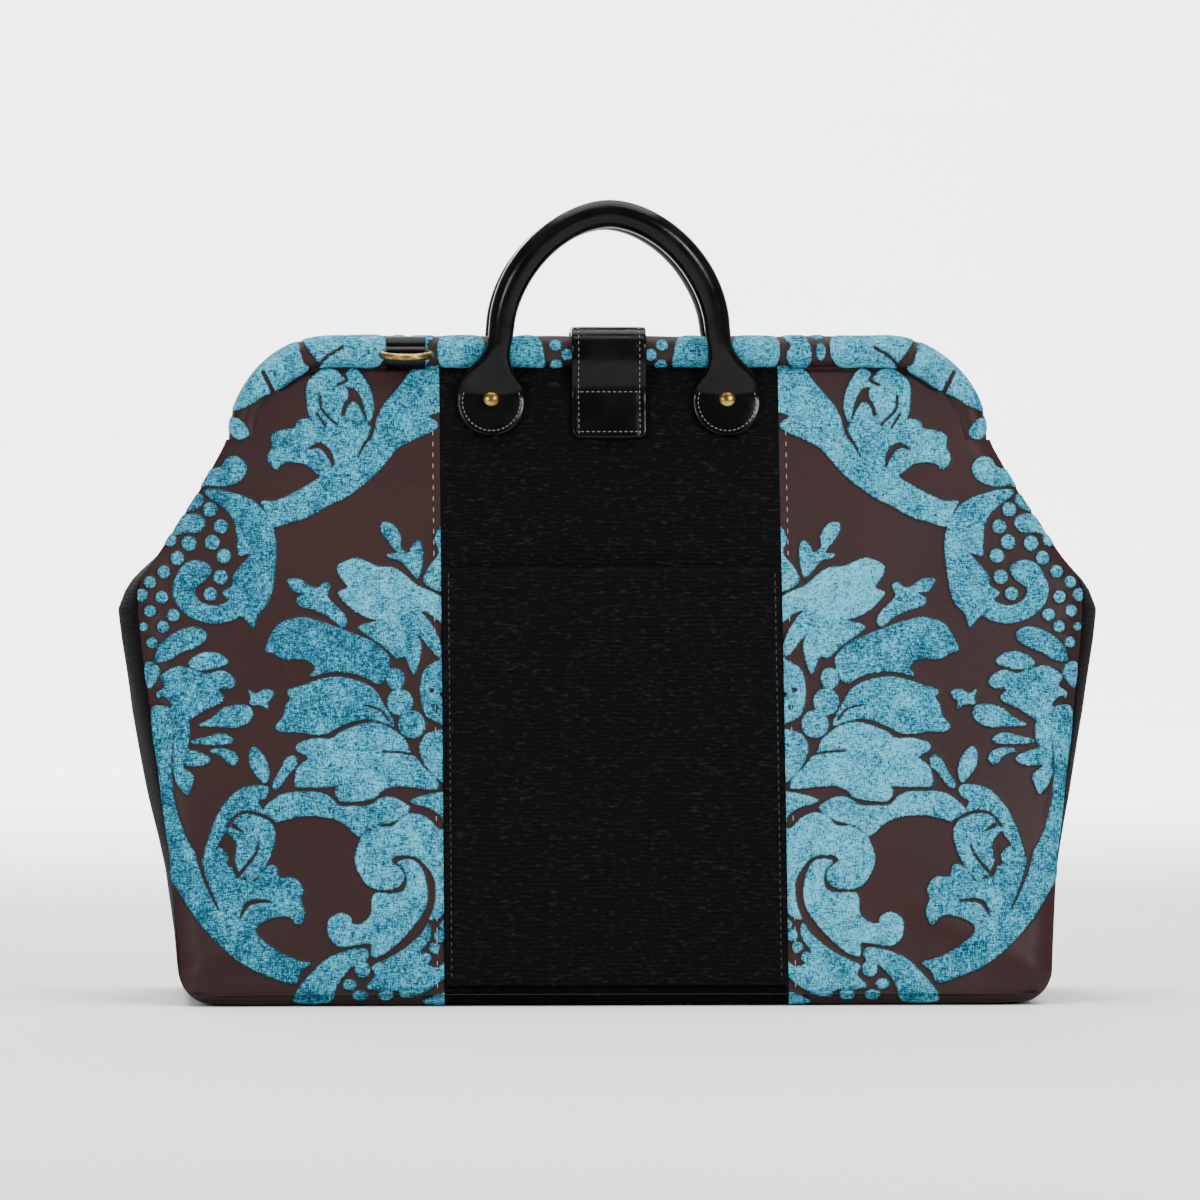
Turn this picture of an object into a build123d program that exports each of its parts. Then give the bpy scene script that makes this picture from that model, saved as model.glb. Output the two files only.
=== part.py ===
"""Carpet bag: a soft travel bag on a hinged steel mouth frame, with two rolled leather handles.

Millimetres. X runs along the bag, Y from front to back, Z up. The origin is on the floor under the
middle of the bag. The front is the -Y side, which carries the slip pocket and the sewn end of the strap.
Both walls lean in towards the mouth. The mouth frame is two U-shaped steel strips, each inside a rolled
cloth collar, and pinned at its ends to a small plate at each end of the bag. Each half turns outwards
about its own pins, and the strip of wall above the fold line goes with it.
"""

import os
from math import atan2, cos, degrees, hypot, radians, sin

from build123d import *

# Walls and base
BASE_HALF_LENGTH = 206.5  # the end line carried down to the floor
WIDE_HALF_LENGTH = 226.0  # the widest place
WIDE_HEIGHT = 198.0
NECK_HALF_LENGTH = 180.0  # where the slanted shoulder meets the collar
NECK_HEIGHT = 272.0
BASE_HALF_DEPTH = 98.0
MOUTH_SET_OUT = 4.0  # the wall's outer face, just under the collar, from the middle of the collar
BASE_CORNER_RADIUS = 16.0
WIDE_CORNER_RADIUS = 14.0
CLOTH = 2.5  # carpet cloth with its backing
LINING = 0.8
SOFT_GAP = 0.3  # between soft pieces that lie together
BOARD = 2.5
CENTRE_HALF_WIDTH = 81.0  # the plain middle panel
FOLD_HEIGHT = 246.0  # above this line the wall turns with the frame
FOLD_GAP = 1.0
YOKE_INSET = 3.0  # the turning wall is narrower than the standing one
LINING_TOP = 234.0
GUSSET_TOP = 238.0

# Slip pocket on the front
POCKET_TOP = 205.0
POCKET_BOTTOM = 10.0
POCKET_CLOTH = 2.0
POCKET_MOUTH = 8.0  # how far the mouth stands open
POCKET_SEAM = 4.0

# Mouth frame
STRIP_WIDTH = 9.0  # across the bag
STRIP_THICKNESS = 3.0
STRIP_HALF_LENGTH = 173.5  # to the middle of a leg
STRIP_TOP = 308.0
STRIP_CORNER_RADIUS = 42.0
STRIP_LEAN = 8.5  # degrees, legs outwards
HINGE_DROP = 58.0  # from the strip's top to the pin, along the leg
EYE_RADIUS = 5.0
PIN_RADIUS = 2.0
PIN_CLEARANCE = 0.05
PLATE_THICKNESS = 2.0
PLATE_GAP = 0.2
PIN_HEAD_RADIUS = 3.4
PIN_HEAD_HEIGHT = 1.2
COLLAR_RADIUS = 7.5
COLLAR_GAP = 1.0  # between the two collars
COLLAR_DROP = 44.0  # the rolled end, from the strip's top

# Handles
HANDLE_RADIUS = 6.75
HANDLE_CORE_RADIUS = 4.0
HANDLE_ARC_RADIUS = 49.5
HANDLE_ARC_HEIGHT = 324.0
HANDLE_FOOT_HALF_SPAN = 54.3
HANDLE_FOOT_HEIGHT = 314.5
HANDLE_STANDOFF = 1.0  # from the collar
FLEX_HEIGHT = 305.0  # where the neck of a handle bends
NECK_HALF_WIDTH = 7.0
TAB_HALF_SPAN = 56.3
TAB_HEIGHT = 284.0  # the rivet in the middle of its round end
TAB_RADIUS = 16.3
TAB_THICKNESS = 3.4
TAB_SHOULDER = 9.0
TAB_NECK_RISE = 16.5
RIVET_HEAD_RADIUS = 4.5
RIVET_HEAD_HEIGHT = 2.4
RIVET_SHANK_RADIUS = 1.6
RIVET_CLEARANCE = 0.05
WASHER_THICKNESS = 1.0

# Closing strap
STRAP_HALF_WIDTH = 17.9
STRAP_THICKNESS = 3.2
STRAP_BOTTOM = 266.0
STRAP_SEWN_TOP = 288.0
STRAP_RISE = 1.4  # air between the collars and the strap
STRAP_CORNER_RADIUS = 6.0
FLAP_BOTTOM = 262.0
FLAP_COLLAR_GAP = 4.8
FLAP_WALL_GAP = 3.2
STRAP_HINGE_GAP = 0.3
FOLD_BEAD_RADIUS = 1.5  # the rolled edge that the flap turns about
SNAP_RADIUS = 8.0
SNAP_THICKNESS = 1.4
SNAP_HEIGHT = 275.0

# Rings for a shoulder strap
RING_X = 97.0
RING_HEIGHT = 307.0
RING_WIRE_RADIUS = 1.75
RING_HALF_WIDTH = 11.5
RING_CORNER_RADIUS = 2.5
RING_SIDE = 4.0
RING_DROOP = 8.0  # degrees below level
LOOP_HALF_WIDTH = 9.5
LOOP_THICKNESS = 1.5
LOOP_BORE_CLEARANCE = 0.3
LOOP_TOP = 313.5
LOOP_BOTTOM = 302.5

# Worked out from the sizes above
STRIP_OFFSET = COLLAR_RADIUS + COLLAR_GAP / 2  # each half's top from the bag's middle plane
MOUTH_HALF_DEPTH = STRIP_OFFSET + MOUTH_SET_OUT
WALL_TOP = STRIP_TOP - COLLAR_RADIUS - SOFT_GAP
LEAN = (BASE_HALF_DEPTH - MOUTH_HALF_DEPTH) / WALL_TOP  # inwards for each millimetre of height
SLANT = hypot(1, LEAN)  # level distance for each millimetre square to the wall
BORE_RADIUS = COLLAR_RADIUS - CLOTH
PIN_Y = STRIP_OFFSET + HINGE_DROP * sin(radians(STRIP_LEAN))
PIN_Z = STRIP_TOP - HINGE_DROP * cos(radians(STRIP_LEAN))
HANDLE_Y = STRIP_OFFSET + COLLAR_RADIUS + HANDLE_RADIUS + HANDLE_STANDOFF
STRAP_TOP = STRIP_TOP + COLLAR_RADIUS + STRAP_RISE
FOLD_AXIS_HEIGHT = STRAP_TOP + STRAP_THICKNESS + STRAP_HINGE_GAP
FAR = 1000.0


def wall_y(height, inset=0.0):
    """How far the wall's outer face, moved in by inset, is from the bag's middle plane."""
    return MOUTH_HALF_DEPTH + (WALL_TOP - height) * LEAN - inset * SLANT


def wall_plane(x, height, out):
    """The front wall's own plane at one place, out from its outer face; local Y runs up the wall."""
    origin = (x, -wall_y(height) - out / SLANT, height + out * LEAN / SLANT)
    return Plane(origin=origin, x_dir=(1, 0, 0), z_dir=(0, -1, LEAN))


def along_x(points, x_low, x_high):
    """A prism along X from an outline of (y, z) points."""
    outline = make_face(Polyline(*[(x_low, y, z) for y, z in points], close=True))
    return extrude(outline, x_high - x_low, dir=(1, 0, 0))


def along_y(face, y_low, y_high):
    """A prism along Y from a face drawn in the XZ plane at Y 0."""
    return extrude(Pos(0, y_low, 0) * face, y_high - y_low, dir=(0, 1, 0))


def rod_x(y, z, radius, x_low, x_high):
    """A round bar along X."""
    return extrude(Plane(origin=(x_low, y, z), z_dir=(1, 0, 0)) * Circle(radius), x_high - x_low)


def band(x_low, x_high, low, high):
    """A block between two heights and two places along the bag."""
    middle = ((x_low + x_high) / 2, 0, (low + high) / 2)
    return Pos(*middle) * Box(x_high - x_low, 2 * FAR, high - low)


def mirrored(shape):
    """The same piece, or group of pieces, on the back of the bag."""
    copies = [mirror(solid, Plane.XZ) for solid in shape.solids()]
    return copies[0] if len(copies) == 1 else Compound(copies)


def turned(shape):
    """The same piece on the back of the bag, at the other end."""
    return Rot(0, 0, 180) * shape


def silhouette(inset=0.0):
    """The bag's outline from the front, moved in by inset."""
    right = [(BASE_HALF_LENGTH, 0), (WIDE_HALF_LENGTH, WIDE_HEIGHT), (NECK_HALF_LENGTH, NECK_HEIGHT)]
    left = [(-x, z) for x, z in reversed(right)]
    outline = make_face(Polyline(*[(x, 0, z) for x, z in right + left], close=True))
    outline = fillet(outline.vertices().filter_by(lambda v: v.Z < 1), BASE_CORNER_RADIUS)
    wide = outline.vertices().filter_by(lambda v: abs(v.Z - WIDE_HEIGHT) < 1)
    outline = fillet(wide, WIDE_CORNER_RADIUS)
    return offset(outline, -inset) if inset else outline


def wall_slab(low, high, outer, inner):
    """The space between two depths of the front wall, as long as the bag and longer."""
    return along_x(
        [
            (-wall_y(low, outer), low),
            (-wall_y(low, inner), low),
            (-wall_y(high, inner), high),
            (-wall_y(high, outer), high),
        ],
        -FAR,
        FAR,
    )


def body_block(inset, low, high):
    """The whole inside of the bag between two heights, moved in by inset at the walls and ends."""
    between = [
        (-wall_y(low, inset), low),
        (wall_y(low, inset), low),
        (wall_y(high, inset), high),
        (-wall_y(high, inset), high),
    ]
    return along_y(silhouette(inset), -FAR, FAR) & along_x(between, -FAR, FAR)


def swing_room():
    """What the turning walls sweep through, about both rows of pins."""
    radius = hypot(wall_y(FOLD_HEIGHT) - PIN_Y, PIN_Z - FOLD_HEIGHT) + FOLD_GAP
    return rod_x(-PIN_Y, PIN_Z, radius, -FAR, FAR) + rod_x(PIN_Y, PIN_Z, radius, -FAR, FAR)


def wall_panels():
    """The three panels of the front wall that stand still: left, centre and right."""
    wall = wall_slab(0, FOLD_HEIGHT, 0, CLOTH) & along_y(silhouette(), -FAR, FAR)
    wall = wall - swing_room()
    cuts = [-FAR, -CENTRE_HALF_WIDTH, CENTRE_HALF_WIDTH, FAR]
    return [wall & band(low, high, -1, FOLD_HEIGHT) for low, high in zip(cuts, cuts[1:])]


def rim_cloth():
    """The cloth round the ends and the bottom, between the walls."""
    rim = silhouette() - silhouette(CLOTH)
    inset = CLOTH + SOFT_GAP
    between = [
        (-wall_y(0, inset), 0),
        (wall_y(0, inset), 0),
        (wall_y(GUSSET_TOP, inset), GUSSET_TOP),
        (-wall_y(GUSSET_TOP, inset), GUSSET_TOP),
    ]
    return (along_y(rim, -FAR, FAR) & along_x(between, -FAR, FAR)) - swing_room()


def base_board():
    """A stiff board on the bottom cloth, under the lining."""
    inset = CLOTH + SOFT_GAP
    length = 2 * (BASE_HALF_LENGTH - BASE_CORNER_RADIUS)
    depth = 2 * wall_y(inset + BOARD, inset)
    return Pos(0, 0, inset + BOARD / 2) * Box(length, depth, BOARD)


def lining():
    """The inner bag, open at the top."""
    low = CLOTH + BOARD + 2 * SOFT_GAP
    inset = CLOTH + SOFT_GAP
    skin = body_block(inset, low, LINING_TOP) - body_block(inset + LINING, low + LINING, LINING_TOP + 1)
    return skin - swing_room()


def pocket_panel():
    """A patch of cloth sewn over the middle panel, standing a little open at its top edge."""
    room_low = (-wall_y(POCKET_BOTTOM + POCKET_SEAM) - SOFT_GAP, POCKET_BOTTOM + POCKET_SEAM)
    room_high = (-wall_y(POCKET_TOP) - POCKET_MOUTH, POCKET_TOP)
    outer_low = (-wall_y(POCKET_BOTTOM) - SOFT_GAP - POCKET_CLOTH * SLANT, POCKET_BOTTOM)
    outer_high = (room_high[0] - POCKET_CLOTH * SLANT, POCKET_TOP)
    against_low = (-wall_y(POCKET_BOTTOM) - SOFT_GAP, POCKET_BOTTOM)
    against_high = (-wall_y(POCKET_TOP) - SOFT_GAP, POCKET_TOP)
    whole = along_x(
        [outer_low, against_low, against_high, outer_high], -CENTRE_HALF_WIDTH, CENTRE_HALF_WIDTH
    )
    inner_half = CENTRE_HALF_WIDTH - POCKET_SEAM
    over = POCKET_TOP + 1
    corners = [room_low, (0, room_low[1]), (0, over), (room_high[0], over), room_high]
    room = along_x(corners, -inner_half, inner_half)
    return whole - room


def arch(grow, drop):
    """A filled arch as wide and high as the strip's middle line, grown by grow, down to a drop."""
    half = STRIP_HALF_LENGTH + grow
    outline = make_face(
        Polyline((-half, 0, -drop), (half, 0, -drop), (half, 0, grow), (-half, 0, grow), close=True)
    )
    return fillet(outline.vertices().filter_by(lambda v: v.Z > grow - 1), STRIP_CORNER_RADIUS + grow)


def frame_place():
    """Where the front half's own plane stands: its top is level, its legs lean outwards."""
    return Pos(0, -STRIP_OFFSET, STRIP_TOP) * Rot(-STRIP_LEAN, 0, 0)


def arch_roll(radius, drop):
    """A round bar bent along the strip's middle line."""
    half = STRIP_HALF_LENGTH
    turn = STRIP_CORNER_RADIUS
    step = turn * (1 - cos(radians(45)))
    path = (
        Line((-half, 0, -drop), (-half, 0, -turn))
        + ThreePointArc((-half, 0, -turn), (step - half, 0, -step), (turn - half, 0, 0))
        + Line((turn - half, 0, 0), (half - turn, 0, 0))
        + ThreePointArc((half - turn, 0, 0), (half - step, 0, -step), (half, 0, -turn))
        + Line((half, 0, -turn), (half, 0, -drop))
    )
    return sweep(Plane(origin=(-half, 0, -drop), z_dir=(0, 0, 1)) * Circle(radius), path=path)


def frame_strip():
    """The bent steel strip of the front half, with a pin eye at the end of each leg."""
    half = STRIP_THICKNESS / 2
    strip = along_y(arch(half, HINGE_DROP) - arch(-half, HINGE_DROP), -STRIP_WIDTH / 2, STRIP_WIDTH / 2)
    for side in (-1, 1):
        middle = side * STRIP_HALF_LENGTH
        strip = strip + rod_x(0, -HINGE_DROP, EYE_RADIUS, middle - half, middle + half)
    strip = strip - rod_x(0, -HINGE_DROP, PIN_RADIUS + PIN_CLEARANCE, -FAR, FAR)
    return frame_place() * strip


def hinge_room():
    """The space round the front half's pins, with air between the eyes and the turning wall."""
    pin_end = PIN_HEAD_HEIGHT + PLATE_GAP + SOFT_GAP
    inner = STRIP_HALF_LENGTH - STRIP_THICKNESS / 2 - pin_end
    outer = STRIP_HALF_LENGTH + STRIP_THICKNESS / 2 + PLATE_GAP + PLATE_THICKNESS + pin_end
    right = rod_x(-PIN_Y, PIN_Z, EYE_RADIUS + SOFT_GAP, inner, outer)
    return [right, mirror(right, Plane.YZ)]


def frame_collar():
    """The cloth rolled round the strip, in one with the strip of wall that hangs from it."""
    under = silhouette(YOKE_INSET)
    neck = Pos(0, -STRIP_OFFSET, STRIP_TOP) * along_y(arch(0, STRIP_TOP - FOLD_HEIGHT), -FAR, FAR)
    wall = wall_slab(FOLD_HEIGHT, WALL_TOP + CLOTH, 0, CLOTH)
    below = wall & along_y(under, -FAR, FAR)
    inside = wall & neck
    roll = frame_place() * arch_roll(COLLAR_RADIUS, COLLAR_DROP)
    bore = frame_place() * arch_roll(BORE_RADIUS, HINGE_DROP)
    shank = RIVET_SHANK_RADIUS + RIVET_CLEARANCE
    collar = (below + inside + roll) - bore - hinge_room()
    for side in (-1, 1):
        place = wall_plane(side * TAB_HALF_SPAN, TAB_HEIGHT, -CLOTH - 1)
        collar = collar - extrude(place * Circle(shank), CLOTH + 2)
    return collar


def hinge_plate(side):
    """The plate that joins both halves' pins at one end of the bag."""
    inner = STRIP_HALF_LENGTH + STRIP_THICKNESS / 2 + PLATE_GAP
    outline = SlotCenterToCenter(2 * PIN_Y, 2 * EYE_RADIUS)
    for y in (-PIN_Y, PIN_Y):
        outline = outline - Pos(y, 0) * Circle(PIN_RADIUS + PIN_CLEARANCE)
    place = Plane(origin=(inner, 0, PIN_Z), x_dir=(0, 1, 0), z_dir=(1, 0, 0))
    plate = extrude(place * outline, PLATE_THICKNESS)
    return plate if side > 0 else mirror(plate, Plane.YZ)


def hinge_rivets():
    """The four pins, each with a flat head at both ends."""
    inner = STRIP_HALF_LENGTH - STRIP_THICKNESS / 2 - PLATE_GAP
    outer = STRIP_HALF_LENGTH + STRIP_THICKNESS / 2 + 2 * PLATE_GAP + PLATE_THICKNESS
    pins = []
    for y in (-PIN_Y, PIN_Y):
        pin = rod_x(y, PIN_Z, PIN_RADIUS, inner - PIN_HEAD_HEIGHT, outer + PIN_HEAD_HEIGHT)
        pin = pin + rod_x(y, PIN_Z, PIN_HEAD_RADIUS, inner - PIN_HEAD_HEIGHT, inner)
        pin = pin + rod_x(y, PIN_Z, PIN_HEAD_RADIUS, outer, outer + PIN_HEAD_HEIGHT)
        pins += [pin, mirror(pin, Plane.YZ)]
    return Compound(pins)


def handle_path():
    """One handle's middle line: straight feet that touch a round bow."""
    foot = Vector(HANDLE_FOOT_HALF_SPAN, 0, HANDLE_FOOT_HEIGHT)
    centre = Vector(0, 0, HANDLE_ARC_HEIGHT)
    reach = foot - centre
    turn = degrees(atan2(reach.Z, reach.X))
    turn += degrees(atan2((reach.length**2 - HANDLE_ARC_RADIUS**2) ** 0.5, HANDLE_ARC_RADIUS))
    touch_x = HANDLE_ARC_RADIUS * cos(radians(turn))
    touch_z = HANDLE_ARC_HEIGHT + HANDLE_ARC_RADIUS * sin(radians(turn))
    top = (0, -HANDLE_Y, HANDLE_ARC_HEIGHT + HANDLE_ARC_RADIUS)
    left_foot = (-foot.X, -HANDLE_Y, foot.Z)
    left_touch = (-touch_x, -HANDLE_Y, touch_z)
    right_touch = (touch_x, -HANDLE_Y, touch_z)
    right_foot = (foot.X, -HANDLE_Y, foot.Z)
    return (
        Line(left_foot, left_touch)
        + ThreePointArc(left_touch, top, right_touch)
        + Line(right_touch, right_foot)
    )


def handle_bar(radius):
    """A round bar along one handle."""
    path = handle_path()
    return sweep(Plane(origin=path @ 0, z_dir=path % 0) * Circle(radius), path=path)


def handle_cover():
    """The rolled leather, with a flat neck at each foot that bends level with the collar."""
    cover = handle_bar(HANDLE_RADIUS) - handle_bar(HANDLE_CORE_RADIUS)
    half = TAB_THICKNESS / 2
    for side in (-1, 1):
        middle = side * HANDLE_FOOT_HALF_SPAN
        low = middle - NECK_HALF_WIDTH
        high = middle + NECK_HALF_WIDTH
        drop = HANDLE_FOOT_HEIGHT - FLEX_HEIGHT
        neck = Pos(middle, -HANDLE_Y, FLEX_HEIGHT + drop / 2) * Box(2 * NECK_HALF_WIDTH, 2 * half, drop + 2)
        cover = cover + neck + rod_x(-HANDLE_Y, FLEX_HEIGHT, half, low, high)
    return cover - handle_bar(HANDLE_CORE_RADIUS)


def handle_core():
    """The cord inside the rolled leather."""
    return handle_bar(HANDLE_CORE_RADIUS - SOFT_GAP)


def handle_tab(side):
    """The leather tab riveted to the wall, with a neck that reaches up to the handle's."""
    shoulder = TAB_SHOULDER
    rise = TAB_NECK_RISE
    half = NECK_HALF_WIDTH
    wide = (TAB_RADIUS**2 - shoulder**2) ** 0.5
    left = [(-half, rise), (-wide, shoulder), (-wide, 0)]
    right = [(wide, 0), (wide, shoulder), (half, rise)]
    sides = Polyline(*left, *right, close=True)
    outline = Circle(TAB_RADIUS) + make_face(sides) - Circle(RIVET_SHANK_RADIUS + RIVET_CLEARANCE)
    tab = extrude(wall_plane(side * TAB_HALF_SPAN, TAB_HEIGHT, SOFT_GAP) * outline, TAB_THICKNESS)
    near = TAB_HEIGHT + rise - 1.5 * TAB_THICKNESS
    far = TAB_HEIGHT + rise - 3 * TAB_THICKNESS
    top = FLEX_HEIGHT - TAB_THICKNESS
    half_thick = TAB_THICKNESS / 2
    middle = side * TAB_HALF_SPAN
    neck = along_x(
        [
            (-wall_y(near) - SOFT_GAP * SLANT, near),
            (-HANDLE_Y + half_thick, top),
            (-HANDLE_Y - half_thick, top),
            (-wall_y(far) - (SOFT_GAP + TAB_THICKNESS) * SLANT, far),
        ],
        middle - half,
        middle + half,
    )
    return tab + neck


def tab_rivets():
    """The domed rivets through both tabs of one handle."""
    bulge = (RIVET_HEAD_RADIUS**2 + RIVET_HEAD_HEIGHT**2) / (2 * RIVET_HEAD_HEIGHT)
    rivets = []
    for side in (-1, 1):
        face = wall_plane(side * TAB_HALF_SPAN, TAB_HEIGHT, SOFT_GAP + TAB_THICKNESS)
        ball = Pos(0, 0, RIVET_HEAD_HEIGHT - bulge) * Sphere(bulge)
        dome = ball & Pos(0, 0, bulge) * Box(4 * bulge, 4 * bulge, 2 * bulge)
        length = SOFT_GAP + TAB_THICKNESS + CLOTH + SOFT_GAP + WASHER_THICKNESS
        shank = Pos(0, 0, -length / 2) * Cylinder(RIVET_SHANK_RADIUS, length)
        rivets.append(face.location * (dome + shank))
    return Compound(rivets)


def tab_washers():
    """The washers behind the wall, one on each rivet."""
    washers = []
    for side in (-1, 1):
        face = wall_plane(side * TAB_HALF_SPAN, TAB_HEIGHT, -CLOTH - SOFT_GAP - WASHER_THICKNESS)
        disc = Circle(RIVET_HEAD_RADIUS) - Circle(RIVET_SHANK_RADIUS + RIVET_CLEARANCE)
        washers.append(extrude(face * disc, WASHER_THICKNESS))
    return Compound(washers)


def strap_outline(bottom):
    """The strap seen from the front, with two round corners at its end."""
    half = STRAP_HALF_WIDTH
    outline = make_face(
        Polyline((-half, 0, bottom), (half, 0, bottom), (half, 0, FAR), (-half, 0, FAR), close=True)
    )
    corners = outline.vertices().filter_by(lambda v: v.Z < bottom + 1)
    return along_y(fillet(corners, STRAP_CORNER_RADIUS), -FAR, FAR)


def side_face(points):
    """A face in the YZ plane at X 0 from (y, z) points."""
    return make_face(Polyline(*[(0, y, z) for y, z in points], close=True))


def side_disc(y, z, radius):
    """A disc in the YZ plane at X 0."""
    return Plane(origin=(0, y, z), z_dir=(1, 0, 0)) * Circle(radius)


def across(face, half):
    """A face in the YZ plane thickened both ways along X."""
    return extrude(Pos(-half, 0, 0) * face, 2 * half, dir=(1, 0, 0))


def fold_bead(radius):
    """A round bar across the strap, along the line where the flap bends up."""
    return across(side_disc(-STRIP_OFFSET, FOLD_AXIS_HEIGHT, radius), STRAP_HALF_WIDTH)


def strap_anchor():
    """The sewn end of the strap on the front, up to the bend on top of the collar."""

    def filled(grow):
        radius = COLLAR_RADIUS + STRAP_RISE + grow
        low = -wall_y(STRAP_BOTTOM) - (SOFT_GAP + grow) * SLANT
        high = -wall_y(STRAP_SEWN_TOP) - (SOFT_GAP + grow) * SLANT
        points = [
            (-STRIP_OFFSET, STRAP_BOTTOM),
            (low, STRAP_BOTTOM),
            (high, STRAP_SEWN_TOP),
            (-STRIP_OFFSET - radius, STRIP_TOP),
            (-STRIP_OFFSET, STRIP_TOP),
        ]
        disc = side_disc(-STRIP_OFFSET, STRIP_TOP, radius)
        return across(side_face(points), STRAP_HALF_WIDTH) + across(disc, STRAP_HALF_WIDTH)

    anchor = (filled(STRAP_THICKNESS) - filled(0)) & strap_outline(STRAP_BOTTOM)
    anchor = anchor - fold_bead(FOLD_BEAD_RADIUS + STRAP_HINGE_GAP)
    keep = along_x(
        [
            (-FAR, STRAP_BOTTOM),
            (-STRIP_OFFSET - STRAP_HINGE_GAP, STRAP_BOTTOM),
            (-STRIP_OFFSET - STRAP_HINGE_GAP, FAR),
            (-FAR, FAR),
        ],
        -FAR,
        FAR,
    )
    return anchor & keep


def flap_lines(grow):
    """The flap's inner line on the back, moved out by grow: its place at the collar and at its end."""
    top_y = STRIP_OFFSET + COLLAR_RADIUS + FLAP_COLLAR_GAP
    end_y = wall_y(FLAP_BOTTOM) + FLAP_WALL_GAP
    slope = (end_y - top_y) / (STRIP_TOP - FLAP_BOTTOM)
    out = grow * hypot(1, slope)
    corner_y = top_y + out - slope * (STRAP_TOP + grow - STRIP_TOP)
    return corner_y, end_y + out, slope


def closing_strap():
    """The part of the strap that lifts: over both collars and down the back."""

    def filled(grow):
        corner_y, end_y, _ = flap_lines(grow)
        start = -STRIP_OFFSET + STRAP_HINGE_GAP
        top = STRAP_TOP + grow
        face = side_face([(start, FLAP_BOTTOM), (start, top), (corner_y, top), (end_y, FLAP_BOTTOM)])
        corner = face.vertices().filter_by(lambda v: v.Z > top - 1 and v.Y > 0)
        return fillet(corner, COLLAR_RADIUS + STRAP_RISE + grow)

    face = filled(STRAP_THICKNESS) - filled(0)
    flap = across(face, STRAP_HALF_WIDTH) & strap_outline(FLAP_BOTTOM)
    return flap + fold_bead(FOLD_BEAD_RADIUS)


def snap_plate():
    """The steel disc on the inside of the flap."""
    corner_y, end_y, slope = flap_lines(-SOFT_GAP)
    y = end_y - slope * (SNAP_HEIGHT - FLAP_BOTTOM)
    face = Plane(origin=(0, y, SNAP_HEIGHT), x_dir=(1, 0, 0), z_dir=(0, -1, -slope))
    return extrude(face * Circle(SNAP_RADIUS), SNAP_THICKNESS)


def snap_magnet():
    """The magnet in its steel cup on the back wall."""
    disc = extrude(wall_plane(0, SNAP_HEIGHT, SOFT_GAP) * Circle(SNAP_RADIUS), SNAP_THICKNESS)
    return mirrored(disc)


def ring_y():
    """Where a ring's straight bar lies in front of the collar."""
    bore = RING_WIRE_RADIUS + LOOP_BORE_CLEARANCE
    return -(STRIP_OFFSET + COLLAR_RADIUS + SOFT_GAP + LOOP_THICKNESS + bore)


def ring_loop():
    """The leather that holds a ring's bar against the front of the collar."""
    bore = RING_WIRE_RADIUS + LOOP_BORE_CLEARANCE
    inner = COLLAR_RADIUS + SOFT_GAP
    wrap = side_disc(-STRIP_OFFSET, STRIP_TOP, inner + LOOP_THICKNESS)
    wrap = wrap - side_disc(-STRIP_OFFSET, STRIP_TOP, inner)
    keep = side_face(
        [(-FAR, LOOP_BOTTOM), (-STRIP_OFFSET, LOOP_BOTTOM), (-STRIP_OFFSET, LOOP_TOP), (-FAR, LOOP_TOP)]
    )
    eye = side_disc(ring_y(), RING_HEIGHT, bore + LOOP_THICKNESS)
    face = (wrap & keep) + eye - side_disc(-STRIP_OFFSET, STRIP_TOP, inner)
    face = face - side_disc(ring_y(), RING_HEIGHT, bore)
    return Pos(-RING_X, 0, 0) * across(face, LOOP_HALF_WIDTH)


def ring():
    """A D-shaped wire ring: a straight bar, two short sides and a half-round bow."""
    half = RING_HALF_WIDTH
    turn = RING_CORNER_RADIUS
    side = RING_SIDE
    diagonal = cos(radians(45))
    step = turn * (1 - diagonal)
    bow_middle = (half * diagonal, -side - half * diagonal)
    path = (
        Line((0, 0), (half - turn, 0))
        + ThreePointArc((half - turn, 0), (half - step, -step), (half, -turn))
        + Line((half, -turn), (half, -side))
        + ThreePointArc((half, -side), bow_middle, (0, -side - half))
    )
    wire = sweep(Plane(origin=(0, 0, 0), z_dir=(1, 0, 0)) * Circle(RING_WIRE_RADIUS), path=path)
    wire = wire + mirror(wire, Plane.YZ)
    return Pos(-RING_X, ring_y(), RING_HEIGHT) * Rot(RING_DROOP, 0, 0) * wire


def all_parts():
    """Every piece by name."""
    parts = {}
    for name, panel in zip(("left_panel", "centre_panel", "right_panel"), wall_panels()):
        parts["front_" + name] = panel
        parts["back_" + name] = mirrored(panel)
    rim = rim_cloth()
    parts["base_cloth"] = rim & band(-FAR, FAR, -1, BASE_CORNER_RADIUS)
    parts["left_gusset"] = rim & band(-FAR, 0, BASE_CORNER_RADIUS, GUSSET_TOP)
    parts["right_gusset"] = rim & band(0, FAR, BASE_CORNER_RADIUS, GUSSET_TOP)
    parts["base_board"] = base_board()
    parts["lining"] = lining()
    parts["pocket_panel"] = pocket_panel()
    parts["left_hinge_plate"] = hinge_plate(-1)
    parts["right_hinge_plate"] = hinge_plate(1)
    parts["hinge_rivets"] = hinge_rivets()

    pairs = {
        "frame_strip": frame_strip(),
        "collar": frame_collar(),
        "left_tab": handle_tab(-1),
        "right_tab": handle_tab(1),
        "tab_rivets": tab_rivets(),
        "tab_washers": tab_washers(),
        "handle_cover": handle_cover(),
        "handle_core": handle_core(),
    }
    for name, piece in pairs.items():
        parts["front_" + name] = piece
        parts["back_" + name] = mirrored(piece)

    parts["strap_anchor"] = strap_anchor()
    parts["closing_strap"] = closing_strap()
    parts["snap_plate"] = snap_plate()
    parts["snap_magnet"] = snap_magnet()
    for name, piece in {"ring_loop": ring_loop(), "ring": ring()}.items():
        parts["front_" + name] = piece
        parts["back_" + name] = turned(piece)
    return parts


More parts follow.
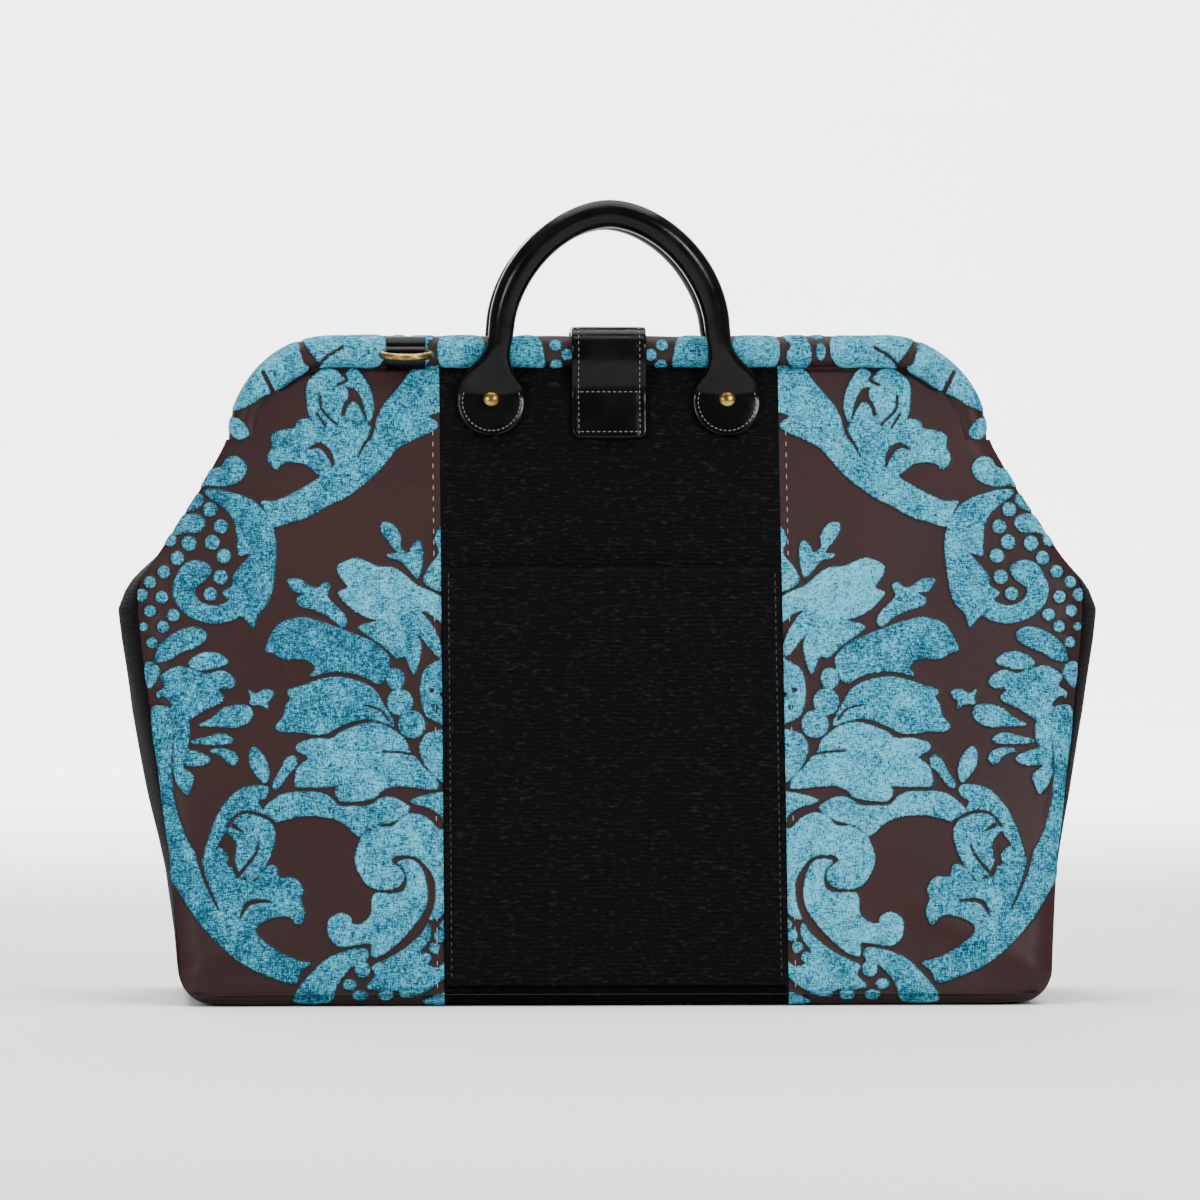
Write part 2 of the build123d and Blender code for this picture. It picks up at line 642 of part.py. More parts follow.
os.makedirs("parts", exist_ok=True)
for node, shape in all_parts().items():
    export_step(shape, f"parts/{node}.step")
    print(f"{node}: {len(shape.solids())} solids, {shape.volume / 1000:.2f} cm3")
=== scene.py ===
import math

import bpy
import numpy as np
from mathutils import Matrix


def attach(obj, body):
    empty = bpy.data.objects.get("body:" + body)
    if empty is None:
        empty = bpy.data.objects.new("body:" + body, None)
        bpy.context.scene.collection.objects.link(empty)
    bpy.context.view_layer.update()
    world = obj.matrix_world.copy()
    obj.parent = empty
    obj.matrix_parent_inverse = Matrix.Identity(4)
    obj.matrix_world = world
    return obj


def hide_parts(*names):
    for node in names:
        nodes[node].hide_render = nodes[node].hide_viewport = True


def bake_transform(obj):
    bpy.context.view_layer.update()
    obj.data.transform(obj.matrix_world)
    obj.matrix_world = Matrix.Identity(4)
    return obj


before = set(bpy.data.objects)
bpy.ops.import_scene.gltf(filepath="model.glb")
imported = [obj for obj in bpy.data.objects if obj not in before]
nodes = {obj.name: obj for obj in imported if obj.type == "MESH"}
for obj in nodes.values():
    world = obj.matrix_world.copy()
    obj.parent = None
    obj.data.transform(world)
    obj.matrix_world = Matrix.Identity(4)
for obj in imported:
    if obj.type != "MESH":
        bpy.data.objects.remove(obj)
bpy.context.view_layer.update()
print("frame loaded")


# small helpers
def clearSelection():
    if bpy.context.object and bpy.context.object.mode != "OBJECT":
        bpy.ops.object.mode_set(mode="OBJECT")
    bpy.ops.object.select_all(action="DESELECT")


def pick(piece):
    clearSelection()
    piece.select_set(True)
    bpy.context.view_layer.objects.active = piece


def meshPoints(piece):
    flat = np.empty(len(piece.data.vertices) * 3)
    piece.data.vertices.foreach_get("co", flat)
    return flat.reshape(-1, 3)


def setPoints(piece, points):
    piece.data.vertices.foreach_set("co", np.ascontiguousarray(points).ravel())
    piece.data.update()


def setField(piece, name, values):
    layer = piece.data.attributes.get(name) or piece.data.attributes.new(name, "FLOAT", "POINT")
    layer.data.foreach_set("value", np.ascontiguousarray(values, dtype=np.float32))


def fixNormals(piece, merge=0.00002, outward=True):
    # closed shells: doubles merged first, then all faces turned outwards
    pick(piece)
    bpy.ops.object.mode_set(mode="EDIT")
    bpy.ops.mesh.select_all(action="SELECT")
    bpy.ops.mesh.remove_doubles(threshold=merge)
    if outward:
        bpy.ops.mesh.normals_make_consistent(inside=False)
    bpy.ops.object.mode_set(mode="OBJECT")


def smooth(piece, angle=180):
    pick(piece)
    if angle >= 180:
        bpy.ops.object.shade_smooth()
    else:
        bpy.ops.object.shade_smooth_by_angle(angle=math.radians(angle))


def gridSheet(name, columns, rows, place, flip=False):
    # a flat grid whose points are moved to place(u, v), given and returned in millimetres
    clearSelection()
    bpy.ops.mesh.primitive_grid_add(x_subdivisions=columns, y_subdivisions=rows, size=2)
    piece = bpy.context.object
    piece.name = name
    piece.data.name = name
    points = meshPoints(piece)
    share = np.clip((points + 1) / 2, 0, 1)
    setPoints(piece, np.stack(place(share[:, 0], share[:, 1]), axis=1) * 0.001)
    if flip:
        piece.data.flip_normals()
    smooth(piece)
    return piece


def ease(value, low, high):
    t = np.clip((value - low) / (high - low), 0, 1)
    return t * t * (3 - 2 * t)


# the bag's shape, in millimetres
bagShape = {
    "mouthDepth": 12.0,       # outer face of a wall under the collar
    "wallTop": 300.2,
    "wallLean": 0.2865,
    "belly": 4.5,             # how far the full walls swell
    "seamInset": 5.0,         # the wall rounds back towards the side seam
    "seamWidth": 13.0,
    "footRadius": 5.0,        # the wall turns under at the floor
    "endCorner": 17.0,
    "centreHalf": 81.0,
    "rollRadius": 7.5,
    "rollHalf": 173.5,
    "rollTop": 308.0,
    "rollCorner": 42.0,
    "rollOffset": 8.0,
    "rollLean": 8.5,
    "rollEnd": 264.5,
}

# half length of the bag at a few heights: straight ends, a round shoulder, a slanted top
endHeights = [17, 60, 100, 140, 170, 185, 194, 199, 204, 211, 224, 237, 250, 262, 268]
endHalves = [206, 209, 214, 219.5, 223.3, 224.7, 224.5, 223.2, 220.3, 215, 206.3, 197.8, 190.5, 184, 181.5]
bulgeHeights = [0, 30, 65, 98, 136, 185, 206, 225, 262]
bulgeHalves = [0, 0.5, 3, 6.5, 9, 9.5, 1.5, -4, -8]


def endHalf(z):
    corner = bagShape["endCorner"]
    half = np.interp(z, endHeights, endHalves)
    low = np.clip(corner - z, 0, corner)
    return half - (corner - np.sqrt(corner**2 - low**2))


def archDistance(x, z):
    # distance from the middle line of the collar, in its own plane
    side = np.abs(x)
    corner = bagShape["rollHalf"] - bagShape["rollCorner"]
    height = bagShape["rollTop"] - bagShape["rollCorner"]
    onArc = np.abs(np.hypot(side - corner, z - height) - bagShape["rollCorner"])
    level = np.abs(z - bagShape["rollTop"])
    leg = np.hypot(side - bagShape["rollHalf"], np.minimum(z - bagShape["rollEnd"], 0))
    return np.where(side < corner, level, np.where(z > height, onArc, leg))


def rollDepth(z):
    return bagShape["rollOffset"] + (bagShape["rollTop"] - z) * math.tan(math.radians(bagShape["rollLean"]))


def wallDepth(x, z):
    # distance of a wall's outer face from the bag's middle plane
    depth = bagShape["mouthDepth"] + (bagShape["wallTop"] - z) * bagShape["wallLean"]
    side = np.abs(x) / endHalf(z)
    belly = np.clip(1 - side**4, 0, 1) * np.sin(np.pi * np.clip(z / 252, 0, 1)) ** 1.2
    depth = depth + bagShape["belly"] * belly
    # soft waves in the cloth, stronger low down and towards the ends
    slack = 0.35 + 0.9 * ease(np.abs(x), 90, 200) * ease(-z, -120, -10)
    slack = slack * ease(-z, -262, -230)
    depth = depth + slack * (
        0.8 * np.sin(x / 19 + z / 37) * np.sin(z / 29 - x / 53)
        + 0.45 * np.sin(x / 9.5 - z / 17 + 1.3) * np.sin(z / 13 + x / 31)
    )
    # a shallow fold that runs in from each lower corner
    fold = (np.abs(x) - 205) * 0.45 + (z - 14) * 0.9
    depth = depth + 2.0 * np.exp(-(fold / 7) ** 2) * ease(np.abs(x), 120, 190) * ease(-z, -75, -25)
    edge = np.clip(1 - (endHalf(z) - np.abs(x)) / bagShape["seamWidth"], 0, 1)
    depth = depth - bagShape["seamInset"] * edge**2
    foot = bagShape["footRadius"]
    low = np.clip(foot - z, 0, foot)
    depth = depth - (foot - np.sqrt(foot**2 - low**2))
    # the cloth dips in under the collar
    away = archDistance(x, z)
    radius = bagShape["rollRadius"]
    inside = rollDepth(z) - 1 + np.sqrt(np.clip(radius**2 - away**2, 0, None))
    limit = np.where(away < radius, inside, rollDepth(z) - 1 + (away - radius) * 2.2)
    limit = limit + 30 * (1 - ease(z, 279, 292))  # at its ends the collar sinks into the wall instead
    return np.minimum(depth, limit)


def wallTopAt(x):
    corner = bagShape["rollHalf"] - bagShape["rollCorner"]
    side = np.clip(np.abs(x) - corner, 0, 38)
    return bagShape["rollTop"] - bagShape["rollCorner"] + np.sqrt(38.0**2 - side**2)


def panelHeight(v, x):
    # even rows up to 240, and above that squeezed under the collar's arch
    even = v * 304
    top = wallTopAt(x)
    return np.where(even < 240, even, 240 + (even - 240) * (top - 240) / 64)


def wallPanel(name, side, face, columns, rows):
    # side is -1 left, 0 centre, 1 right; face is -1 front, 1 back
    half = bagShape["centreHalf"]

    def place(u, v):
        if side:
            guess = half + u * 100
            for _ in range(3):
                z = panelHeight(v, guess)
                guess = half + u * (endHalf(z) - half)
            x = side * guess
        else:
            x = (2 * u - 1) * half
            z = panelHeight(v, x)
        y = face * wallDepth(x, z)
        return x, y, z

    flip = (face > 0) != (side < 0)
    return gridSheet(name, columns, rows, place, flip)


# the cut pile pattern of the carpet cloth
# tone, then the points of a closed outline: distance from the bag's middle and height
carpetShapes = [
    (0.1, [(75, 300), (92, 300), (98, 294), (104, 287), (108, 282), (110.5, 277), (114, 272), (116.5, 276),
           (119, 281), (122, 284), (126, 281), (128.5, 278), (129.5, 273), (135, 270), (139.5, 272.5),
           (143.5, 276), (149, 274.5), (150, 271.5), (155, 270.5), (160, 269), (161.5, 266), (161, 262),
           (163, 258.5), (162, 254), (158.5, 251.5), (156.5, 254), (151, 255), (145, 254), (140, 250),
           (138, 248.5), (142, 245.5), (149, 241.5), (156, 238), (161, 236.5), (166.5, 236.5), (163.5, 231),
           (160.5, 224.5), (152, 226.5), (143.5, 229), (135, 234), (126.5, 238), (118, 244), (111, 250),
           (106.5, 255), (101, 261.5), (92, 266.5), (83, 270.5), (82, 274), (86, 277), (81, 279), (75, 282)]),
    (0.2, [(129, 292), (122, 290.5), (118.5, 286), (116.5, 279), (115, 274), (112.5, 278.5), (112.5, 285),
           (114.5, 291.5), (118, 297.5), (121.5, 300), (125, 298.5)]),
    (0.3, [(135, 300), (140.5, 297), (144, 293), (144.5, 286.5), (143.5, 278.5), (139.5, 272), (135, 269.5),
           (129.5, 273), (129, 277), (125.5, 283), (124.5, 289), (128, 293), (126.5, 296.5), (129, 298.5)]),
    (-0.4, [(192, 242), (186, 242), (178, 240), (170.5, 237), (165, 232), (160.5, 224), (159, 216),
           (159.5, 207), (160.5, 198.5), (161.5, 193), (164, 187), (168, 183), (170, 176.5), (172, 178.5),
           (176, 182), (180.5, 180), (188, 178.5), (196.5, 180), (202, 183), (206.5, 188), (208.5, 194),
           (207, 200.5), (203, 206.5), (197, 208.5), (191.5, 206.5), (190, 203), (193.5, 198.5), (197.5, 195.5),
           (197.5, 192), (194.5, 188.5), (188, 187), (182, 189.5), (185, 193), (180, 196.5), (180, 200.5),
           (176.5, 205.5), (171.5, 211.5), (177, 210.5), (177.5, 214.5), (178, 221.5), (180, 228.5), (185, 234),
           (190.5, 238), (193, 240)]),
    (-0.2, [(205, 228.5), (199.5, 230.5), (193.5, 228.5), (193, 225), (196.5, 221.5), (203.5, 221.5),
           (208, 220), (206.5, 225)]),
    (-0.2, [(198.5, 238.5), (195, 240), (193.5, 236.5), (196.5, 233), (201.5, 231.5), (200.5, 236)]),
    (0.0, [(190.5, 251.5), (185, 253), (183, 256.5), (178.5, 258), (174.5, 255.5), (173, 252), (174.5, 248),
           (178.5, 245), (185, 243.5), (191.5, 244), (194.5, 243), (197, 244), (194.5, 248.5)]),
    (0.1, [(108.5, 226.5), (103.5, 225.5), (100, 220), (100, 214.5), (96.5, 212), (95, 215), (91.5, 218),
           (89.5, 213), (90, 205.5), (92, 200), (95.5, 203), (100, 208), (105.5, 209.5), (106.5, 211.5),
           (102, 212), (104.5, 215.5), (108, 220), (109.5, 223.5)]),
    (0.2, [(77, 224.5), (81.5, 224), (84, 218), (82, 212), (87, 205), (89.5, 199), (86, 195.5), (80, 193),
           (77, 192)]),
    (0.9, [(129.5, 206.5), (122, 209.5), (116.5, 208), (110.5, 205.5), (103.5, 205), (98, 201.5), (92, 196.5),
           (85, 193.5), (80, 190.5), (77, 185.5), (77, 177), (84, 181), (90, 184.5), (100, 181), (109.5, 180),
           (116.5, 181.5), (123.5, 185.5), (128.5, 190.5), (130, 193.5), (125.5, 195.5), (128.5, 200),
           (130, 203)]),
    (0.3, [(120.5, 177), (116.5, 173), (109.5, 168.5), (102, 162), (98.5, 163), (94.5, 154.5), (91.5, 161.5),
           (90.5, 168.5), (92.5, 174), (88, 168.5), (83, 163), (80.5, 164.5), (81.5, 170), (85, 177),
           (89.5, 183), (95, 186), (104, 182), (113.5, 179.5)]),
    (0.1, [(154, 199.5), (148, 199.5), (143.5, 196.5), (139.5, 195.5), (136.5, 198), (133.5, 196.5), (135, 192),
           (132, 188), (127, 183), (126, 178.5), (128.5, 177), (135, 182), (142, 185), (148.5, 187),
           (149.5, 190.5), (145.5, 193), (150.5, 193.5), (153, 196.5)]),
    (-0.6, [(164.5, 165.5), (163.5, 170), (159.5, 177), (155, 180), (146.5, 181.5), (138, 179.5),
           (129.5, 176.5), (120.5, 173), (113.5, 170), (108, 165.5), (105.5, 161.5), (106.5, 156), (110.5, 150),
           (118, 153.5), (126.5, 155.5), (135, 155.5), (143.5, 153.5), (141, 157.5), (143.5, 160.5),
           (149.5, 162), (155, 161.5), (160.5, 164.5)]),
    (-0.1, [(154.5, 147), (146.5, 149.5), (140, 152), (130.5, 153.5), (120.5, 151.5), (113.5, 148), (110, 143),
           (108, 139.5), (104.5, 133.5), (104.5, 130), (109.5, 132), (116.5, 133.5), (123.5, 132.5),
           (130.5, 129.5), (136.5, 126.5), (143.5, 126.5), (149.5, 127.5), (157, 127.5), (160, 130),
           (156.5, 134.5), (155, 140), (153, 143.5)]),
    (0.5, [(149.5, 122), (142, 124.5), (133.5, 124.5), (129.5, 127.5), (122, 130.5), (115, 132), (108, 130.5),
           (102, 127), (98, 123), (97, 119.5), (95, 117), (93.5, 115.5), (89.5, 110.5), (85, 106.5),
           (83, 101.5), (87, 100.5), (95, 101.5), (103.5, 102), (109.5, 100), (113.5, 96.5), (120.5, 95),
           (129.5, 95), (132, 99.5), (130.5, 102), (136.5, 101.5), (143.5, 101.5), (150.5, 102), (150.5, 108),
           (148.5, 112), (144.5, 115.5), (149.5, 118.5)]),
    (0.1, [(150.5, 116.5), (150, 112), (153.5, 108), (157, 103), (160.5, 100.5), (161.5, 103.5), (158, 109.5),
           (155, 115)]),
    (0.2, [(166.5, 90.5), (160.5, 96.5), (155, 99), (146.5, 99.5), (138, 99), (133.5, 96.5), (130, 93),
           (123.5, 93), (116.5, 93), (110.5, 96.5), (105, 97), (99.5, 94.5), (96.5, 91.5), (102, 87),
           (106.5, 85), (113.5, 83.5), (118, 80.5), (120.5, 78.5), (123.5, 80.5), (126.5, 83.5), (132, 86.5),
           (139.5, 88), (148, 88), (155, 86.5), (160, 85), (163.5, 87)]),
    (0.6, [(120.5, 76.5), (123, 68), (120.5, 60.5), (116.5, 55.5), (110.5, 53.5), (103.5, 54.5), (100, 58),
           (100, 62), (103.5, 65.5), (105.5, 67), (103, 69.5), (94.5, 69), (89.5, 65), (85.5, 58.5), (85, 50.5),
           (86.5, 43.5), (88, 39.5), (83.5, 40.5), (80, 43.5), (76.5, 45), (76.5, 79.5), (83, 82), (88, 87),
           (94.5, 89.5), (100, 88), (105, 83.5), (112, 83), (118, 80)]),
    (0.6, [(103, 66.5), (97, 68), (92, 65), (89.5, 58.5), (88.5, 50.5), (90.5, 43.5), (95.5, 36.5), (102, 29.5),
           (108, 24.5), (114.5, 22), (115.5, 25.5), (115.5, 28.5), (122, 28), (129.5, 27), (134.5, 30.5),
           (136, 36.5), (134.5, 40.5), (129.5, 43), (124.5, 40.5), (124.5, 38), (120, 38), (115.5, 42),
           (115, 48), (113.5, 52), (106.5, 52), (100.5, 53), (98.5, 57), (99.5, 63)]),
    (0.2, [(96.5, 95.5), (89.5, 98), (83.5, 99), (77, 99), (77, 85), (80.5, 83.5), (82, 88), (88, 92),
           (93.5, 93.5)]),
    (-0.4, [(218, 139), (214, 140), (209.5, 138.5), (208, 131), (208.5, 123), (209, 113), (208.5, 104),
           (207.5, 95), (205, 86), (202, 78), (198, 71.5), (195, 68), (190.5, 68), (188, 73), (185.5, 73),
           (181.5, 68), (180, 62), (178, 60), (170.5, 57), (166.5, 62), (163, 65), (159.5, 64.5), (158, 59.5),
           (153, 59.5), (149.5, 58), (147, 53), (148.5, 49.5), (146.5, 43.5), (148, 38), (150.5, 37.5),
           (153, 40.5), (157, 41.5), (162, 40.5), (166.5, 38.5), (169.5, 35.5), (168, 32), (162, 27), (155, 23),
           (148, 20.5), (143.5, 19.5), (148.5, 15.5), (150.5, 10.5), (155.5, 10.5), (163.5, 13.5), (172, 17),
           (179.5, 22), (188, 29.5), (194.5, 36.5), (199.5, 43), (205, 52), (209.5, 59.5), (209.5, 68),
           (211.5, 79.5), (213.5, 93.5), (215.5, 110.5), (218, 125), (218.5, 133.5)]),
    (-0.1, [(192, 62), (194, 66.5), (193, 73.5), (190.5, 81.5), (186.5, 90.5), (180, 98.5), (173.5, 102),
           (165, 102.5), (163, 100), (165, 96.5), (168, 94.5), (163.5, 87), (160.5, 82), (160.5, 76.5),
           (162.5, 69.5), (166.5, 63), (172, 57), (174.5, 60), (177, 60), (179, 66), (181.5, 70), (181, 76),
           (184, 79), (188, 73.5), (190.5, 66.5)]),
    (-0.3, [(216.5, 160.5), (215.5, 166.5), (211.5, 171.5), (205, 175.5), (198, 177), (192.5, 174.5),
           (193.5, 170), (199.5, 166.5), (205, 164.5), (209.5, 161.5)]),
    (0.0, [(199.5, 162), (193.5, 165), (186.5, 164.5), (182, 160.5), (186.5, 158), (195, 156.5),
           (200.5, 158.5)]),
    (-0.2, [(210, 157), (205, 158.5), (199, 157), (192, 155), (186, 156.5), (181, 154.5), (178.5, 151),
           (181, 148), (187, 147.5), (184, 144), (186, 141), (192, 138.5), (199, 134), (203, 132), (206, 136),
           (209, 141), (213, 144.5), (215, 143), (216, 146), (212, 149), (214, 153)]),
    (0.0, [(196.5, 130.5), (189.5, 134.5), (185, 138.5), (178, 140.5), (172, 139.5), (170.5, 135.5),
           (173.5, 131.5), (179.5, 129.5), (187, 130)]),
    (0.0, [(199.5, 123.5), (192, 125.5), (185, 127), (180, 124.5), (181.5, 122), (189.5, 121.5), (198, 122)]),
    (0.1, [(191.5, 118.5), (186.5, 120), (180, 118.5), (177.5, 115), (179.5, 112), (183, 113.5),
           (185.5, 116.5)]),
    (0.0, [(207, 118), (202, 119.5), (195.5, 118), (190.5, 115), (193.5, 112), (199.5, 111.5), (205, 113)]),
    (0.1, [(207, 110), (202, 110), (198.5, 106.5), (199.5, 102), (201.5, 98), (204.5, 100.5), (207, 104.5)]),
    (-0.3, [(221, 160), (217, 160), (214, 156), (217, 150), (220, 148), (221.5, 154)]),
    (0.2, [(173, 148), (169.5, 145.5), (165, 147.5), (160.5, 146.5), (161.5, 143.5), (163.5, 141.5),
           (163.5, 138), (166.5, 140), (172, 140.5), (171.5, 143.5)]),
    (0.2, [(170.5, 120.5), (166.5, 118), (163.5, 112), (163, 106.5), (165, 103.5), (168.5, 106.5), (172, 112),
           (172.5, 117)]),
    (0.1, [(91.5, 148), (89.5, 156.5), (83.5, 160.5), (77, 162), (77, 129.5), (82, 131.5), (88, 134.5),
           (90.5, 139.5)]),
    (0.2, [(92, 119.5), (90.5, 124.5), (86.5, 127.5), (77, 127.5), (77, 108), (80.5, 103.5), (83.5, 105.5),
           (89.5, 112)]),
    (-0.1, [(151.5, 1.5), (149.5, 8), (143.5, 15), (136.5, 21.5), (128, 25), (119.5, 26.5), (116.5, 24.5),
           (118, 20.5), (123.5, 18.5), (128.5, 13.5), (132, 8), (135, 1.5)]),
    (0.0, [(118, 8), (113.5, 13.5), (115, 18), (108, 21.5), (99.5, 26.5), (92, 33), (88.5, 38), (87, 35),
           (88, 30), (92, 24.5), (89, 19), (83.5, 18), (77, 23.5), (77, 16.5), (83.5, 10.5), (92, 5),
           (100.5, 3.5), (103, 6.5), (109.5, 7)]),
    (0.1, [(91, 1), (88, 4), (80, 6), (77, 7), (77, 0)]),
]
# tone, place and half sizes of round spots
carpetSpots = [
    (0, 190.5, 192.5, 3.2, 3.2), (0, 190.5, 232.5, 3.4, 3.4), (0, 185.5, 224.5, 3.3, 3.3),
    (0, 200.5, 216.5, 3.5, 3.5),
    (0, 189.5, 217, 3.5, 3.5), (0, 184, 210.5, 3.4, 3.4), (0, 206, 209.5, 3.2, 3.2),
    (0, 185.5, 200.5, 3.4, 3.4),
    (0, 212.5, 203, 3, 3), (0, 219, 198, 2.8, 2.8), (0, 213.5, 191, 3, 3), (0, 219, 184.5, 2.8, 2.8),
    (0, 208, 182.5, 3, 3), (0, 213, 177, 2.8, 2.8), (0, 218, 169.5, 2.6, 2.6), (0, 223, 192, 3, 3),
    (0, 209.5, 218, 3, 3), (0, 222, 177, 2, 2), (0.2, 103, 152.5, 4.3, 5), (0.2, 101, 141.5, 6.2, 6.2),
    (0.2, 95.5, 131, 6.5, 6.5), (0, 119.5, 16.5, 3.7, 3.7), (0, 125.5, 9.5, 3.3, 2.5),
    (0, 120.5, 4.5, 3.7, 2.3),
    (0, 108.5, 4.5, 3.7, 2.2), (0, 83, 32, 2.8, 2.8), (0, 85.5, 26.5, 2.6, 2.6), (0, 89.5, 22, 2.4, 2.4),
    (0, 93, 18.5, 2, 2), (0, 96, 16, 2, 2), (0, 80, 37, 3, 3),
]
# lines of bare ground drawn through the pile: points, then the width at each point
carpetCuts = [
    ([(111.5, 279), (113.5, 269), (117, 263.5), (120, 257.5)], [2.2, 1.8, 1.4, 0.8]),
    ([(143.5, 261.5), (138, 263), (133.5, 258.5), (132, 253)], [0.8, 3, 3, 0.8]),
    ([(138, 286.5), (137, 280), (130, 273)], [1.2, 1.2, 1.2]),
    ([(139.5, 278.5), (135, 271.5)], [1, 1]),
    ([(121.5, 287), (125.5, 283), (127, 278)], [2, 2, 2]),
    ([(128, 298), (125, 294.5), (129.5, 292)], [1.5, 1.5, 1.5]),
    ([(118, 140), (110.5, 138), (106.5, 133)], [1, 1, 1]),
    ([(109.5, 118.5), (102, 118), (95, 117)], [1.2, 1.2, 1.2]),
    ([(197, 72), (194.5, 62), (191, 53), (187, 44.5)], [2.4, 2, 1.4, 0.8]),
    ([(177, 40.5), (173.5, 47), (168, 48.5), (162.5, 48)], [0.8, 2.4, 2, 0.8]),
    ([(183, 83), (179, 88), (173.5, 90), (166.5, 88.5), (160, 85)], [1.6] * 5),
    ([(180, 83.5), (175, 80.5)], [2.2, 0.5]),
    ([(168, 78), (169.5, 70.5), (178, 60)], [0.6, 1.4, 2]),
    ([(183, 79), (180, 74), (181.5, 66)], [3, 3, 3]),
    ([(86, 147), (86, 147.1)], [2.4, 2.4]), ([(81, 145), (81, 145.1)], [2.4, 2.4]),
    ([(84, 139), (84, 139.1)], [2.4, 2.4]), ([(79, 150), (79, 150.1)], [2.4, 2.4]),
]
carpetStems = [([(206, 138), (204, 128), (205, 119), (206, 108)], [7, 8, 6, 4])]
collarShapes = [
    (0.1, [(182.5, 279), (182.5, 286), (178.5, 294), (172.5, 301.5), (163, 308.5), (155, 313), (149, 313),
           (146, 303), (143, 300), (148, 295), (154, 291), (160, 288.5), (166, 286), (172, 282)]),
    (0.2, [(147, 315), (140, 317), (130, 318), (122, 318), (110, 316), (106, 313), (106.5, 306), (109, 302),
           (113, 300), (120, 299), (137, 300), (139, 303)]),
    (0.2, [(31, 300), (39, 298), (47, 300), (47.5, 306), (47, 314), (39, 316), (33, 314), (31, 307)]),
    (0.3, [(61, 303), (66, 300), (78, 300), (81, 303), (82, 309), (80, 315), (70, 316), (61, 315), (59, 309)]),
    (0.0, [(84, 318), (92, 317), (96, 312), (97, 304), (94, 300), (88, 301), (85, 306), (87, 311), (84, 314)]),
    (0.0, [(172, 268), (177, 266), (181, 270), (181, 276), (177, 276), (173, 272)]),
]
collarSpots = [
    (0, 25.5, 311, 3, 2.6), (0, 20, 306.5, 2.8, 2.8), (0, 25, 301.5, 3, 2.8), (0, 53, 313, 3, 2),
    (0, 54, 304, 2.6, 2.8), (0, 101.5, 308, 2.4, 4), (0, 100, 315, 3, 1.6),
]
collarCuts = [
    ([(147, 308), (143, 303), (139, 300)], [1.5, 1.5, 1.5]),
    ([(139, 301), (134, 306), (127, 310)], [1.5, 1.5, 1.5]),
    ([(165, 298), (162, 292), (160, 288)], [2, 2, 2]),
]


def roundLine(points, closed, steps=4):
    # a smooth line through given points
    points = np.array(points, float)
    count = len(points)
    last = count if closed else count - 1
    line = []
    for i in range(last):
        if closed:
            a, b, c, d = (points[(i + k) % count] for k in (-1, 0, 1, 2))
        else:
            a, b, c, d = (points[min(max(i + k, 0), count - 1)] for k in (-1, 0, 1, 2))
        for step in range(steps):
            t = step / steps
            bend = (2 * a - 5 * b + 4 * c - d) * t**2 + (3 * b - a - 3 * c + d) * t**3
            line.append(0.5 * (2 * b + (c - a) * t + bend))
    if not closed:
        line.append(points[-1])
    return np.array(line)


def nearTo(x, z, line, margin):
    low, high = line.min(axis=0) - margin, line.max(axis=0) + margin
    return np.nonzero((x > low[0]) & (x < high[0]) & (z > low[1]) & (z < high[1]))[0]


def segmentDistance(px, pz, start, end):
    run = end - start
    length = max(float(run @ run), 1e-9)
    t = np.clip(((px - start[0]) * run[0] + (pz - start[1]) * run[1]) / length, 0, 1)
    return np.hypot(px - start[0] - t * run[0], pz - start[1] - t * run[1]), t


def outlineDistance(px, pz, line):
    # positive inside, negative outside
    away = np.full(len(px), 99.0)
    inside = np.zeros(len(px), bool)
    for start, end in zip(line, np.roll(line, -1, axis=0)):
        away = np.minimum(away, segmentDistance(px, pz, start, end)[0])
        if start[1] != end[1]:
            crossing = (start[1] > pz) != (end[1] > pz)
            meet = start[0] + (pz - start[1]) * (end[0] - start[0]) / (end[1] - start[1])
            inside ^= crossing & (px < meet)
    return np.where(inside, away, -away)


def strokeDistance(px, pz, line, widths):
    best = np.full(len(px), -99.0)
    spots = np.linspace(0, len(widths) - 1, len(line))
    halves = np.interp(spots, range(len(widths)), widths) / 2
    for i in range(len(line) - 1):
        away, t = segmentDistance(px, pz, line[i], line[i + 1])
        best = np.maximum(best, halves[i] + (halves[i + 1] - halves[i]) * t - away)
    return best


def carpetField(x, z, shapes, spots, cuts, stems):
    side = np.abs(x)
    pile = np.full(len(side), -6.0)
    tone = np.zeros(len(side))
    for depthTone, points in shapes:
        line = roundLine(points, True)
        near = nearTo(side, z, line, 6)
        value = outlineDistance(side[near], z[near], line)
        better = value > pile[near]
        pile[near] = np.maximum(pile[near], value)
        tone[near] = np.where(better, depthTone, tone[near])
    for depthTone, middle, height, halfWide, halfHigh in spots:
        value = (1 - np.hypot((side - middle) / halfWide, (z - height) / halfHigh)) * min(halfWide, halfHigh)
        better = value > pile
        pile = np.maximum(pile, value)
        tone = np.where(better, depthTone, tone)
    for points, widths in stems:
        line = roundLine(points, False)
        pile = np.maximum(pile, strokeDistance(side, z, line, widths))
    for points, widths in cuts:
        line = roundLine(points, False)
        near = nearTo(side, z, line, 6)
        pile[near] = np.minimum(pile[near], -strokeDistance(side[near], z[near], line, widths))
    return pile, tone


def raisePile(piece, pile, tone, height):
    # real relief: cut pile stands above the flat ground
    normals = np.empty(len(piece.data.vertices) * 3)
    piece.data.vertices.foreach_get("normal", normals)
    lift = ease(pile, -0.35, 0.75) * height * 0.001
    setPoints(piece, meshPoints(piece) + normals.reshape(-1, 3) * lift[:, None])
    setField(piece, "pile", pile)
    setField(piece, "tone", tone)


